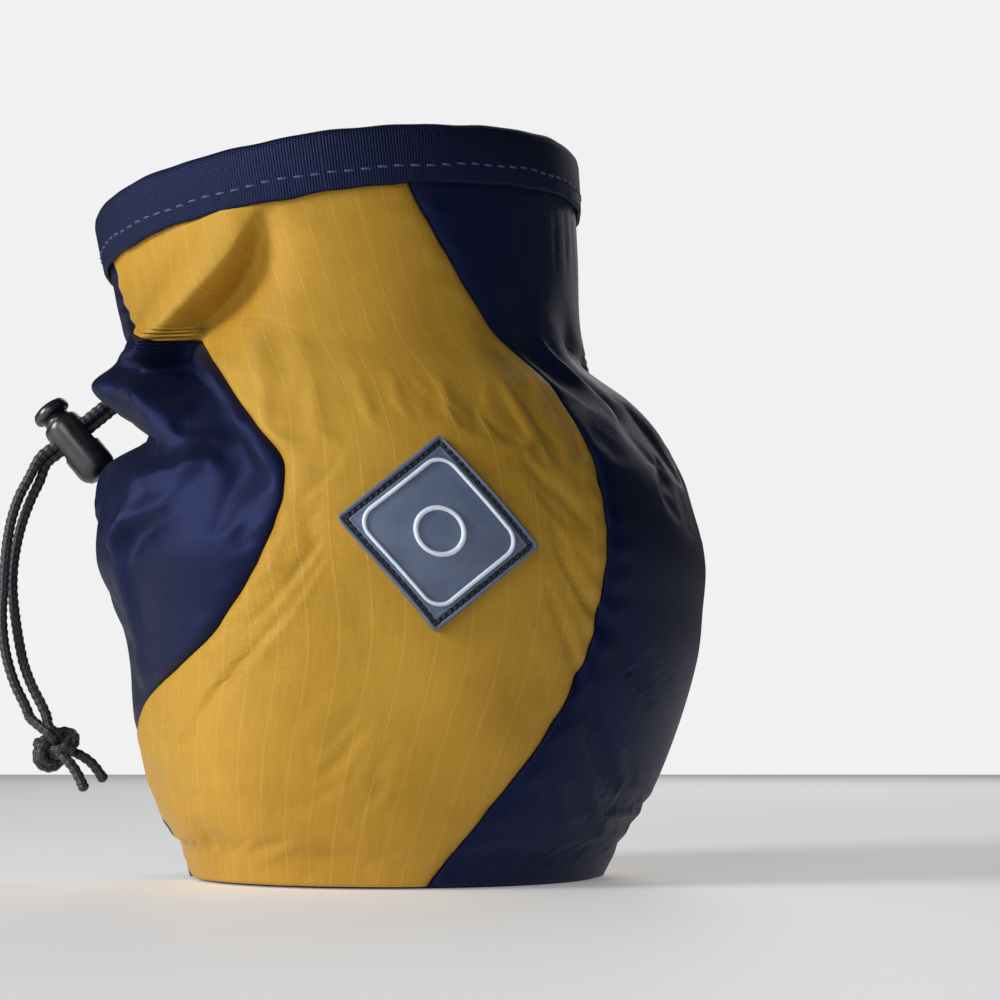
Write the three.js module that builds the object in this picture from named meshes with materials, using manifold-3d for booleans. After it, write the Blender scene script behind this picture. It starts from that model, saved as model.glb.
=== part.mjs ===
// A climber's chalk bag, slumped on its base, with its drawcord pulled out through a cord lock.
// Millimetres, +Z up. The origin is the centre of the base's underside, and the front faces -Y.
import * as THREE from "three";
import { mergeVertices } from "three/addons/utils/BufferGeometryUtils.js";
import Module from "manifold-3d";

const wasm = await Module();
wasm.setup();

// ---- The slack bag: [height, value] stations, from the floor to the rim ----
const CENTRE_X = [
  [0, 0], [15, 0.5], [32, 1.5], [52, 3], [70, 1], [80, 0], [90, -1.5], [97, -3.5],
  [103, -6], [108, -8.5], [113, -10.5], [120, -11], [135, -12], [155, -14.5],
];
const RADIUS = [
  [0, 46], [5, 48.5], [15, 54.5], [32, 61], [47, 64.3], [58, 66.3], [70, 68.7], [80, 68],
  [90, 66], [97, 63], [103, 60], [108, 57.5], [113, 55], [120, 53], [135, 53], [155, 54.3],
];
// Seam angles in degrees from the front, positive towards +X.
const RIGHT_SEAM = [
  [0, 10], [13, 20], [35, 33], [60, 40], [80, 42], [94, 43], [109, 43],
  [118, 37], [125, 31], [133, 24.5], [145, 18], [155, 16],
];
const LEFT_SEAM = [
  [0, -92], [20, -90], [32, -80], [42, -56], [53, -37], [61, -27], [72, -21], [84, -18],
  [95, -23], [107, -31], [115, -41], [119, -54], [123, -66], [130, -72], [155, -74],
];
const HALF_TURN = 180;
const FULL_TURN = 360;

// ---- Layers, as offsets outwards from the panels' outer surface ----
const GAP = 0.3;
const PANEL_THICKNESS = 0.8;
const HOOP_LAYER = [-2.3, -1.1];
const LINING_LAYER = [-4.5, -2.9];
const LINING_BUMP = 4.2; // how far the lining stands in over the drawcord casing
const LINING_BUMP_REACH = 10;
const TAPE_THICKNESS = 1;

// ---- Rim ----
const RIM_TOP = 155;
const RIM_ROLL = Math.tan(THREE.MathUtils.degToRad(8)); // the left side of the rim is the lower one
const RIM_ROLL_FROM = 116;
const RIM_ROLL_TO = 140;
const BINDING_HEIGHT = 12;
const HOOP_HEIGHT = 9;
const PANEL_TOP = RIM_TOP - TAPE_THICKNESS - 0.4;
const PANEL_BOTTOM = 0.4;
const LINING_BOTTOM = 3.2;
const BASE_FABRIC = 0.8;
const BASE_RADIUS = 44.8;
const LINING_BASE = [1.1, 2.9];
const PANEL_ROWS = [
  PANEL_BOTTOM, 6, 14, 23, 32, 40, 48, 56, 64, 72, 80, 87, 93, 97, 100.5, 104, 107.5, 111, 114.5,
  120, 127, 135, 144, PANEL_TOP,
];
const PANEL_COLUMNS = 8;
const LINING_ROWS = [
  LINING_BOTTOM, 12, 22, 32, 44, 56, 68, 80, 90, 97.5, 101, 105, 107.5, 110, 114, 117.5, 125, 135, 144,
  PANEL_TOP,
];

// ---- Cord, its exit and the waist channel ----
const CORD_RADIUS = 1.25;
const CORD_SIDES = 8;
const EXIT_ANGLE = -90;
const WAIST = 107.5;
const CASING_HALF_HEIGHT = 7;
const WAIST_CORD_OFFSET = -2.95;
const WAIST_CORD_START = 2.75; // degrees from the exit to each end of the held loop
const PINCH_DEPTH = 5;
const PINCH_HEIGHT = 98;
const PINCH_WIDTH = 14; // degrees
const PINCH_TALL = 4.5;
const BUTTONHOLE = { width: 5.8, height: 5.6, corner: 2 };

// ---- Cord lock. Its own frame has +Z towards the button and -X along the cords, away from the bag ----
const LOCK = new THREE.Vector3(-75.2, 0, 99.2);
const LOCK_LEAN = THREE.MathUtils.degToRad(-39.7);
const STRAND_APART = { depth: 1.05, along: 0.82 }; // half the distance between the two strands
const BARREL = { top: 4.5, bottom: -11.4, radius: 4.6, neck: 4.3, bore: 3.55, floor: -9.9 };
const BUTTON = { stem: 3.3, stemEnd: -3.75, head: 4.35, headBottom: 6.3, headTop: 9.3 };
const SLOT = { halfWidth: 2.55, corner: 1, barrel: [-3.95, 2.3], button: [-2.35, 3.9] };
const SPRING = { coil: 2.5, wire: 0.28, turns: 4, from: -9.3, to: -4.35 };
const LATHE_SEGMENTS = 24;

// Each strand's route after the lock: x, y, z in the bag's frame.
const FRONT_ROUTE = [
  [-84.6, -1.1, 89.6], [-86.6, -1.2, 85.6], [-88.2, -1.3, 80.5], [-89.1, -1.4, 75], [-89.5, -1.5, 69.5],
  [-89.7, -1.5, 64], [-89.9, -1.4, 58.5], [-89.4, -1.2, 52.5], [-88.3, -0.9, 47.3], [-86.6, -0.6, 42.4],
  [-84.4, -0.4, 38], [-83.2, -0.3, 35.1],
];
const BACK_ROUTE = [
  [-82.6, 1.3, 89.2], [-84.6, 1.6, 85], [-86.4, 1.8, 80], [-87.6, 1.9, 75], [-88.3, 1.9, 69.5],
  [-88.3, 1.8, 64], [-87.6, 1.6, 58.5], [-86.5, 1.4, 52.5], [-85.2, 1.1, 47.3], [-83.2, 0.8, 42.4],
  [-80.8, 0.5, 38], [-79.6, 0.4, 35.5],
];
const STRAND_STEPS = 30;
const STRAIGHT = [-11.3, -5, 0, 4.6, 8.2]; // the straight stretch through the lock, from the exit on

const KNOT = { centre: new THREE.Vector3(-78.1, 0, 29.1), half: [7.2, 4.8, 5.2] };
const TAILS = [
  [[-75.5, -1.6, 27], [-72.4, -2, 23.6], [-70, -2.2, 18.8]],
  [[-74, 1.4, 28], [-69.6, 1.4, 25.6], [-66.2, 1.2, 21]],
];

// ---- Patch: a rounded square standing on a corner ----
const PATCH = { angle: 8.4, height: 71, turn: 37.2, half: 14.2, corner: 2, rim: 2.4 };
const PATCH_LAYER = [0.3, 2];
const LINE_LAYER = [2.3, 2.7];
const BORDER = { half: 11.3, corner: 3.8, width: 0.8 };
const MOTIF = { radius: 4.6, width: 0.9 };
const PATCH_SEGMENTS = 32;

// ---- Belt loop on the back ----
const LOOP = { width: 28, thickness: 1.6, standOff: 7.5 };
const LOOP_FEET = [[105.5, 111.5], [134, 140]];
const LOOP_BEND = 5;

const YELLOW = { color: 0xc8963a, roughness: 0.55, metalness: 0 };
const NAVY = { color: 0x232a55, roughness: 0.55, metalness: 0 };
const TAPE = { color: 0x1c2244, roughness: 0.8, metalness: 0 };
const FLEECE = { color: 0x9aa0a8, roughness: 0.95, metalness: 0 };
const BLACK_CORD = { color: 0x0c0c0e, roughness: 0.7, metalness: 0 };
const BLACK_PLASTIC = { color: 0x101012, roughness: 0.4, metalness: 0 };
const CLEAR_PLASTIC = { color: 0xb8bcc0, roughness: 0.4, metalness: 0 };
const STEEL = { color: 0xa8aaac, roughness: 0.3, metalness: 1 };
const SLATE_RUBBER = { color: 0x606e94, roughness: 0.6, metalness: 0 };
const PALE_RUBBER = { color: 0xd7e4f5, roughness: 0.6, metalness: 0 };

// ---- Curves and the bag's surface ----

function curveThrough(stations) {
  const heights = stations.map((station) => station[0]);
  const values = stations.map((station) => station[1]);
  const interpolant = new THREE.CubicInterpolant(heights, values, 1);
  return (height) => interpolant.evaluate(height)[0];
}

const centreAt = curveThrough(CENTRE_X);
const radiusAt = curveThrough(RADIUS);
const rightSeamAt = curveThrough(RIGHT_SEAM);
const leftSeamAt = curveThrough(LEFT_SEAM);

// The drawcord draws the wall in below its exit.
function pinchAt(angle, height) {
  const turned = THREE.MathUtils.euclideanModulo(angle - EXIT_ANGLE + HALF_TURN, FULL_TURN) - HALF_TURN;
  const across = turned / PINCH_WIDTH;
  const up = (height - PINCH_HEIGHT) / PINCH_TALL;
  return PINCH_DEPTH * Math.exp(-(across * across + up * up) / 2);
}

// A point of the bag by angle from the front, height and offset outwards. The rim's roll lifts +X.
function onBag(angle, height, offset) {
  const turn = THREE.MathUtils.degToRad(angle);
  const radius = radiusAt(height) - pinchAt(angle, height) + offset;
  const across = radius * Math.sin(turn);
  const roll = RIM_ROLL * THREE.MathUtils.smoothstep(height, RIM_ROLL_FROM, RIM_ROLL_TO);
  return new THREE.Vector3(centreAt(height) + across, -radius * Math.cos(turn), height + roll * across);
}

function liningInset(height) {
  const reach = Math.min(Math.abs(height - WAIST) / LINING_BUMP_REACH, 1);
  return LINING_BUMP * Math.cos((reach * Math.PI) / 2) ** 2;
}

// ---- Solids from points ----

function geometryOf(points, faces) {
  const geometry = new THREE.BufferGeometry();
  geometry.setAttribute("position", new THREE.Float32BufferAttribute(points.flatMap((p) => p.toArray()), 3));
  geometry.setIndex(faces);
  return geometry;
}

// A closed section carried round a full turn: place(turn, section point) gives each vertex.
// Seen with the turn coming towards the eye, the section runs anticlockwise.
function ringSolid(section, segments, place) {
  const points = [];
  const faces = [];
  const count = section.length;
  for (let i = 0; i < segments; i++) {
    const here = i * count;
    const next = ((i + 1) % segments) * count;
    section.forEach((corner, j) => {
      const k = (j + 1) % count;
      points.push(place(i / segments, corner));
      faces.push(here + j, next + j, next + k, here + j, next + k, here + k);
    });
  }
  return geometryOf(points, faces);
}

// A sheet with thickness: pointAt(share across, row, outside) gives each vertex.
function sheetSolid(columns, rows, pointAt) {
  const points = [];
  const faces = [];
  const stride = rows + 1;
  const side = (columns + 1) * stride;
  for (const outside of [true, false]) {
    for (let i = 0; i <= columns; i++) {
      for (let j = 0; j <= rows; j++) points.push(pointAt(i / columns, j, outside));
    }
  }
  const quad = (a, b, c, d) => faces.push(a, b, c, a, c, d);
  for (let i = 0; i < columns; i++) {
    for (let j = 0; j < rows; j++) {
      const a = i * stride + j;
      quad(a, a + stride, a + stride + 1, a + 1);
      quad(side + a, side + a + 1, side + a + stride + 1, side + a + stride);
    }
    const [low, high] = [i * stride, i * stride + rows];
    quad(side + low, side + low + stride, low + stride, low);
    quad(high, high + stride, side + high + stride, side + high);
  }
  for (let j = 0; j < rows; j++) {
    const end = columns * stride + j;
    quad(j, j + 1, side + j + 1, side + j);
    quad(end + 1, end, side + end, side + end + 1);
  }
  return geometryOf(points, faces);
}

function ringOfCorners(radius, sides) {
  const corners = [];
  for (let i = 0; i < sides; i++) {
    const turn = (i * 2 * Math.PI) / sides;
    corners.push(new THREE.Vector2(radius * Math.cos(turn), radius * Math.sin(turn)));
  }
  return corners;
}

function tube(route, radius, steps, sides = CORD_SIDES) {
  const curve = new THREE.CatmullRomCurve3(route, false, "centripetal");
  const section = new THREE.Shape(ringOfCorners(radius, sides));
  return new THREE.ExtrudeGeometry(section, { steps, extrudePath: curve, bevelEnabled: false });
}

function roundedRectangle(left, bottom, right, top, corner) {
  const shape = new THREE.Shape();
  shape.absarc(right - corner, top - corner, corner, 0, Math.PI / 2);
  shape.absarc(left + corner, top - corner, corner, Math.PI / 2, Math.PI);
  shape.absarc(left + corner, bottom + corner, corner, Math.PI, 1.5 * Math.PI);
  shape.absarc(right - corner, bottom + corner, corner, 1.5 * Math.PI, 2 * Math.PI);
  return shape;
}

// A prism along X through the origin, from a shape drawn in (y, z).
function prismAlongX(shape, length) {
  const prism = new THREE.ExtrudeGeometry(shape, { depth: length, bevelEnabled: false, curveSegments: 4 });
  const basis = new THREE.Matrix4().makeBasis(
    new THREE.Vector3(0, 1, 0),
    new THREE.Vector3(0, 0, 1),
    new THREE.Vector3(1, 0, 0),
  );
  return prism.translate(0, 0, -length / 2).applyMatrix4(basis);
}

function latheAboutZ(profile) {
  const points = profile.map(([radius, height]) => new THREE.Vector2(radius, height));
  return new THREE.LatheGeometry(points, LATHE_SEGMENTS).rotateX(Math.PI / 2);
}

function solidOf(geometry) {
  const bare = geometry.clone();
  bare.deleteAttribute("normal");
  bare.deleteAttribute("uv");
  const merged = mergeVertices(bare, 1e-4);
  return new wasm.Manifold(
    new wasm.Mesh({
      numProp: 3,
      vertProperties: merged.attributes.position.array,
      triVerts: new Uint32Array(merged.index.array),
    }),
  );
}

function geometryFrom(solid) {
  const mesh = solid.getMesh();
  const geometry = new THREE.BufferGeometry();
  geometry.setAttribute("position", new THREE.BufferAttribute(new Float32Array(mesh.vertProperties), 3));
  geometry.setIndex(new THREE.BufferAttribute(new Uint32Array(mesh.triVerts), 1));
  return geometry;
}

function part(name, geometry, finish) {
  const mesh = new THREE.Mesh(geometry, new THREE.MeshStandardMaterial(finish));
  mesh.name = name;
  return mesh;
}

// ---- Fabric shell ----

function panelGeometry(fromSeam, toSeam) {
  return sheetSolid(PANEL_COLUMNS, PANEL_ROWS.length - 1, (u, row, outside) => {
    const height = PANEL_ROWS[row];
    const seamGap = THREE.MathUtils.radToDeg(GAP / 2 / radiusAt(height));
    const angle = THREE.MathUtils.lerp(fromSeam(height) + seamGap, toSeam(height) - seamGap, u);
    return onBag(angle, height, outside ? 0 : -PANEL_THICKNESS);
  });
}

function buttonhole() {
  const { width, height, corner } = BUTTONHOLE;
  const shape = roundedRectangle(-width / 2, -height / 2, width / 2, height / 2, corner);
  const exit = onBag(EXIT_ANGLE, WAIST, 0);
  return prismAlongX(shape, 8).translate(exit.x, exit.y, exit.z);
}

function fabricShell() {
  const turnedBack = (seam) => (height) => seam(height) + HALF_TURN;
  const turnedLeft = (seam) => (height) => seam(height) - HALF_TURN;
  const leftPanel = panelGeometry(turnedLeft(rightSeamAt), leftSeamAt);
  const group = new THREE.Group();
  group.add(part("front_panel", panelGeometry(leftSeamAt, rightSeamAt), YELLOW));
  group.add(part("right_panel", panelGeometry(rightSeamAt, turnedBack(leftSeamAt)), NAVY));
  group.add(part("back_panel", panelGeometry(turnedBack(leftSeamAt), turnedBack(rightSeamAt)), YELLOW));
  group.add(part("left_panel", geometryFrom(solidOf(leftPanel).subtract(solidOf(buttonhole()))), NAVY));
  group.add(part("base_panel", disc(BASE_RADIUS, 0, BASE_FABRIC), NAVY));
  return group;
}

function disc(radius, bottom, top) {
  const section = [[0, bottom], [radius, bottom], [radius, top], [0, top]];
  return ringSolid(section, 48, (turn, [out, height]) => {
    const angle = turn * 2 * Math.PI;
    return new THREE.Vector3(out * Math.cos(angle), out * Math.sin(angle), height);
  });
}

// A section drawn in (offset, height), carried round the bag.
function bandOnBag(section, segments) {
  return ringSolid(section, segments, (turn, [offset, height]) => onBag(turn * FULL_TURN, height, offset));
}

function lining() {
  const outside = LINING_ROWS.map((height) => [LINING_LAYER[1] - liningInset(height), height]);
  const inside = LINING_ROWS.map((height) => [LINING_LAYER[0] - liningInset(height), height]).reverse();
  const group = new THREE.Group();
  group.add(part("lining_wall", bandOnBag([...outside, ...inside], 30), FLEECE));
  group.add(part("lining_base", disc(BASE_RADIUS - 1, ...LINING_BASE), FLEECE));
  return group;
}

function rim() {
  const bottom = RIM_TOP - BINDING_HEIGHT;
  const under = RIM_TOP - TAPE_THICKNESS;
  const [outer, inner] = [GAP, LINING_LAYER[0] - GAP];
  const binding = [
    [outer + TAPE_THICKNESS, bottom], [outer + TAPE_THICKNESS, RIM_TOP - 0.8], [outer, RIM_TOP],
    [inner, RIM_TOP], [inner - TAPE_THICKNESS, RIM_TOP - 0.8], [inner - TAPE_THICKNESS, bottom],
    [inner, bottom], [inner, under], [outer, under], [outer, bottom],
  ];
  const hoopTop = PANEL_TOP - GAP;
  const hoop = [
    [HOOP_LAYER[1], hoopTop - HOOP_HEIGHT], [HOOP_LAYER[1], hoopTop],
    [HOOP_LAYER[0], hoopTop], [HOOP_LAYER[0], hoopTop - HOOP_HEIGHT],
  ];
  const group = new THREE.Group();
  group.add(part("rim_binding", bandOnBag(binding, 48), TAPE));
  group.add(part("rim_hoop", bandOnBag(hoop, 40), CLEAR_PLASTIC));
  return group;
}

// A strip sewn inside the waist along both edges. It arches over the cord that runs in it.
function casingGeometry() {
  const [edge, arch] = [CASING_HALF_HEIGHT, 2];
  const against = -PANEL_THICKNESS - 2 * GAP;
  const crown = WAIST_CORD_OFFSET - CORD_RADIUS - 0.7;
  const strip = [
    [against, WAIST - edge], [against, WAIST - edge + 1], [crown, WAIST - arch], [crown, WAIST + arch],
    [against, WAIST + edge - 1], [against, WAIST + edge],
    [against - 0.9, WAIST + edge], [crown - 0.8, WAIST + arch], [crown - 0.8, WAIST - arch],
    [against - 0.9, WAIST - edge],
  ];
  return bandOnBag(strip, 40);
}

function waistCord() {
  const stops = 28;
  const route = [];
  for (let i = 0; i <= stops; i++) {
    const turned = THREE.MathUtils.lerp(WAIST_CORD_START, FULL_TURN - WAIST_CORD_START, i / stops);
    route.push(onBag(EXIT_ANGLE + turned, WAIST, WAIST_CORD_OFFSET));
  }
  return tube(route, CORD_RADIUS, 42);
}

// ---- Cord lock and free strands ----

// The way along the cords through the lock, from the bag outwards, and the lock's own axis.
const CORD_WAY = new THREE.Vector3(-1, 0, 0).applyAxisAngle(new THREE.Vector3(0, 1, 0), LOCK_LEAN);
const LOCK_AXIS = new THREE.Vector3(0, 0, 1).applyAxisAngle(new THREE.Vector3(0, 1, 0), LOCK_LEAN);

// side is -1 for the front strand and 1 for the back one.
function strandGeometry(side, route) {
  const middle = LOCK.clone().addScaledVector(LOCK_AXIS, -side * STRAND_APART.along);
  middle.y += side * STRAND_APART.depth;
  const straight = STRAIGHT.map((way) => middle.clone().addScaledVector(CORD_WAY, way));
  const free = route.map((point) => new THREE.Vector3(...point));
  return tube([...straight, ...free], CORD_RADIUS, STRAND_STEPS);
}

function knotGeometry() {
  const { centre, half } = KNOT;
  const body = new THREE.SphereGeometry(1, 14, 10).scale(...half).rotateY(0.15);
  body.translate(centre.x, centre.y, centre.z);
  const joined = TAILS.reduce((solid, tail) => {
    const route = tail.map((point) => new THREE.Vector3(...point));
    return solid.add(solidOf(tube(route, CORD_RADIUS, 5)));
  }, solidOf(body));
  return geometryFrom(joined);
}

function barrelGeometry() {
  const { top, bottom, radius, neck, bore, floor } = BARREL;
  const profile = [
    [0, bottom], [1.8, bottom + 0.25], [3.3, bottom + 1.1], [4.2, bottom + 2.4], [radius, bottom + 4.2],
    [radius, bottom + 8], [neck, top - 0.6], [neck - 0.3, top], [bore, top], [bore, floor], [0, floor],
  ];
  return slotted(latheAboutZ(profile), SLOT.barrel);
}

function buttonGeometry() {
  const { stem, stemEnd, head, headBottom, headTop } = BUTTON;
  const profile = [
    [0, stemEnd], [stem, stemEnd], [stem, headBottom], [head - 0.3, headBottom], [head, headBottom + 0.4],
    [head, headTop - 1.4], [head - 0.6, headTop - 0.6], [head - 1.8, headTop - 0.1], [0, headTop],
  ];
  return slotted(latheAboutZ(profile), SLOT.button);
}

// The cross slot that both strands pass through.
function slotted(geometry, [low, high]) {
  const shape = roundedRectangle(-SLOT.halfWidth, low, SLOT.halfWidth, high, SLOT.corner);
  return geometryFrom(solidOf(geometry).subtract(solidOf(prismAlongX(shape, 4 * BARREL.radius))));
}

function springGeometry() {
  const { coil, wire, turns, from, to } = SPRING;
  const stops = turns * 10;
  const route = [];
  for (let i = 0; i <= stops; i++) {
    const angle = (i / stops) * turns * 2 * Math.PI;
    const height = THREE.MathUtils.lerp(from, to, i / stops);
    route.push(new THREE.Vector3(coil * Math.cos(angle), coil * Math.sin(angle), height));
  }
  return tube(route, wire, stops, 5);
}

function cordLock() {
  const group = new THREE.Group();
  group.position.copy(LOCK);
  group.rotation.y = LOCK_LEAN;
  group.add(part("lock_barrel", barrelGeometry(), BLACK_PLASTIC));
  group.add(part("lock_button", buttonGeometry(), BLACK_PLASTIC));
  group.add(part("lock_spring", springGeometry(), STEEL));
  return group;
}

function drawcord() {
  const group = new THREE.Group();
  group.add(part("drawcord_casing", casingGeometry(), NAVY));
  group.add(part("drawcord_waist_loop", waistCord(), BLACK_CORD));
  group.add(part("cord_strand_front", strandGeometry(-1, FRONT_ROUTE), BLACK_CORD));
  group.add(part("cord_strand_back", strandGeometry(1, BACK_ROUTE), BLACK_CORD));
  group.add(part("cord_knot", knotGeometry(), BLACK_CORD));
  return group;
}

// ---- Patch ----

// Distance from the middle of a rounded square to its edge, at a turn in radians from its side's middle.
function roundedSquareReach(turn, half, corner) {
  const folded = Math.abs(THREE.MathUtils.euclideanModulo(turn + Math.PI / 4, Math.PI / 2) - Math.PI / 4);
  const side = half / Math.cos(folded);
  if (side * Math.sin(folded) <= half - corner) return side;
  const diagonal = Math.PI / 4 - folded;
  const centre = (half - corner) * Math.SQRT2;
  return centre * Math.cos(diagonal) + Math.sqrt(corner ** 2 - (centre * Math.sin(diagonal)) ** 2);
}

// A plate that follows the bag: its section is in (share of the reach, offset), carried round the patch.
function plateOnBag(section, segments, reachAt) {
  const turned = THREE.MathUtils.degToRad(PATCH.turn);
  const arcDegree = THREE.MathUtils.degToRad(radiusAt(PATCH.height));
  return ringSolid(section, segments, (share, [out, offset]) => {
    const turn = share * 2 * Math.PI;
    const reach = reachAt(turn, out);
    const across = reach * Math.cos(turn + turned);
    const up = reach * Math.sin(turn + turned);
    return onBag(PATCH.angle + across / arcDegree, PATCH.height + up, offset);
  });
}

function lineOnPatch(reachAt, width) {
  const [low, high] = LINE_LAYER;
  const section = [[-width / 2, low], [width / 2, low], [width / 2, high], [-width / 2, high]];
  return plateOnBag(section, PATCH_SEGMENTS, (turn, out) => reachAt(turn) + out);
}

function patch() {
  const [low, high] = PATCH_LAYER;
  const { half, corner, rim } = PATCH;
  const plate = [
    [0, low], [0.5, low], [1, low], [1, rim], [0.94, rim], [0.9, high], [0.5, high], [0, high],
  ];
  const plateReach = (turn, out) => out * roundedSquareReach(turn, half, corner);
  const border = lineOnPatch((turn) => roundedSquareReach(turn, BORDER.half, BORDER.corner), BORDER.width);
  const motif = lineOnPatch(() => MOTIF.radius, MOTIF.width);
  const group = new THREE.Group();
  group.add(part("patch_base", plateOnBag(plate, PATCH_SEGMENTS, plateReach), SLATE_RUBBER));
  group.add(part("patch_border", border, PALE_RUBBER));
  group.add(part("patch_motif", motif, PALE_RUBBER));
  return group;
}

// ---- Belt loop ----

function beltLoop() {
  const back = radiusAt(WAIST + CASING_HALF_HEIGHT + LOOP_BEND * 2);
  const against = (height) => new THREE.Vector2(radiusAt(height) - back + 0.5, height);
  const [[lowFrom, lowTo], [highFrom, highTo]] = LOOP_FEET;
  const inner = [
    against(lowFrom), against((lowFrom + lowTo) / 2), against(lowTo),
    new THREE.Vector2(LOOP.standOff, lowTo + LOOP_BEND), new THREE.Vector2(LOOP.standOff, highFrom - LOOP_BEND),
    against(highFrom), against(highTo),
  ];
  const outer = inner.map((point) => new THREE.Vector2(point.x + LOOP.thickness, point.y)).reverse();
  const strap = prismAlongX(new THREE.Shape([...inner, ...outer]), LOOP.width);
  strap.translate(centreAt(highFrom), back, 0);
  return part("belt_loop", strap, TAPE);
}

const chalkBag = new THREE.Group();
chalkBag.add(fabricShell(), lining(), rim(), drawcord(), cordLock(), patch(), beltLoop());

export default chalkBag;
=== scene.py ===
"""A climber's chalk bag: cloth panels, bound rim, fleece lining, drawcord with its lock, and a rubber patch.

Metres, +Z up, in the frame of the CAD model. The bag stands on its base at the origin and faces -Y.
"""

import math

import bpy
import numpy as np
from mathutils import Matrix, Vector


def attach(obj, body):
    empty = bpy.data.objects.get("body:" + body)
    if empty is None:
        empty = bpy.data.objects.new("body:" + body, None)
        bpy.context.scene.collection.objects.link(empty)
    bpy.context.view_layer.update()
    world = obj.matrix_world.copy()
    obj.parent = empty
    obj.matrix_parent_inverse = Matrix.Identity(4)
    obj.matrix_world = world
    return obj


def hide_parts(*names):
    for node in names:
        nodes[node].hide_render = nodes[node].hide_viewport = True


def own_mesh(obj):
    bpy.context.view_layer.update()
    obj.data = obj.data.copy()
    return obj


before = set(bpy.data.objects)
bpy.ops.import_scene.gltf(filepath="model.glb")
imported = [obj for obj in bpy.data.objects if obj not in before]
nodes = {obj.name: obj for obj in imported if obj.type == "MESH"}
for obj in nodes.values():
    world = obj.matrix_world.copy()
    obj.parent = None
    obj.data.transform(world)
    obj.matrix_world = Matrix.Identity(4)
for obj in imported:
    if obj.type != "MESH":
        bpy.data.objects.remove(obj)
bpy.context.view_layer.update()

MM = 0.001
FULL_TURN = 360.0
HALF_TURN = 180.0
SEED = 11

# ---- The slack bag, as [height, value] stations in millimetres and degrees ----
CENTRE_X = [
    (0, 0), (15, 0.5), (32, 1.5), (52, 3), (70, 1), (80, 0), (90, -1.5), (97, -3.5),
    (103, -6), (108, -8.5), (113, -10.5), (120, -11), (135, -12), (155, -14.5),
]
RADIUS = [
    (0, 46), (5, 48.5), (15, 54.5), (32, 61), (47, 64.3), (58, 66.3), (70, 68.7), (80, 68),
    (90, 66), (97, 63), (103, 60), (108, 57.5), (113, 55), (120, 53), (135, 53), (155, 54.3),
]
RIGHT_SEAM = [
    (0, 10), (13, 20), (35, 33), (60, 40), (80, 42), (94, 43), (109, 43),
    (118, 37), (125, 31), (133, 24.5), (145, 18), (155, 16),
]
LEFT_SEAM = [
    (0, -74), (5, -82), (11, -76), (18, -82), (28, -84), (33, -78), (42, -57), (50, -41), (58, -32),
    (68, -23), (80, -18), (86, -17.5), (95, -23), (102, -27), (109, -31), (113, -36), (116.5, -46),
    (118.5, -57), (122, -64), (130, -70), (155, -74),
]

PANEL_BOTTOM = 0.4 * MM
PANEL_TOP = 153.6 * MM
RIM_TOP = 155 * MM
RIM_ROLL = math.tan(math.radians(8))
ROLL_FROM = 116 * MM
ROLL_TO = 140 * MM
CLOTH = 0.5 * MM

EXIT_ANGLE = -90.0
WAIST = 107.5 * MM
CORD_RADIUS = 1.25 * MM
WAIST_CORD_OFFSET = -2.95 * MM


def smoothstep(value, low, high):
    share = np.clip((value - low) / (high - low), 0, 1)
    return share * share * (3 - 2 * share)


def curve_through(stations, scale):
    """A smooth function of height through stations in millimetres, its values multiplied by scale."""
    heights = np.array([s[0] for s in stations]) * MM
    values = np.array([s[1] for s in stations]) * scale
    slopes = np.gradient(values, heights)

    def value_at(height):
        height = np.clip(height, heights[0], heights[-1])
        i = np.clip(np.searchsorted(heights, height) - 1, 0, len(heights) - 2)
        step = heights[i + 1] - heights[i]
        t = (height - heights[i]) / step
        rise = t * t * (3 - 2 * t)
        start_bend = t * (1 - t) ** 2 * step * slopes[i]
        end_bend = t * t * (t - 1) * step * slopes[i + 1]
        return values[i] * (1 - rise) + values[i + 1] * rise + start_bend + end_bend

    return value_at


centre_at = curve_through(CENTRE_X, MM)
radius_at = curve_through(RADIUS, MM)
right_seam_at = curve_through(RIGHT_SEAM, 1)
left_seam_at = curve_through(LEFT_SEAM, 1)


def bag_points(angle, height, offset=0.0):
    """Points of the smooth bag, without folds, by angle from the front, height and offset outwards."""
    turn = np.radians(angle)
    radius = radius_at(height) + offset
    across = radius * np.sin(turn)
    ahead = -radius * np.cos(turn)
    lift = smoothstep(height, ROLL_FROM, ROLL_TO) * RIM_ROLL * across
    return np.stack([centre_at(height) + across, ahead, height + lift], axis=-1)


# ---- Camera, light and floor ----

CAMERA = (23 * MM, -500 * MM, 30 * MM)
CAMERA_PITCH = math.radians(6.25)
CAMERA_LENS = 79.2


def make_camera():
    data = bpy.data.cameras.new("view_camera")
    data.sensor_width = 36
    data.lens = CAMERA_LENS
    data.clip_start = 0.01
    camera = bpy.data.objects.new("view_camera", data)
    bpy.context.scene.collection.objects.link(camera)
    camera.location = CAMERA
    camera.rotation_euler = (math.pi / 2 + CAMERA_PITCH, 0, 0)
    bpy.context.scene.camera = camera


def area_light(name, place, size, power, colour):
    data = bpy.data.lights.new(name, "AREA")
    data.shape = "RECTANGLE"
    data.size, data.size_y = size
    data.energy = power
    data.color = colour
    light = bpy.data.objects.new(name, data)
    bpy.context.scene.collection.objects.link(light)
    light.location = place
    light.rotation_euler = (Vector(LIGHT_AIM) - Vector(place)).to_track_quat("-Z", "Y").to_euler()


AMBIENT = 0.05
BACKDROP = 0.88
LIGHT_AIM = (0, 0, 0.08)
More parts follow.
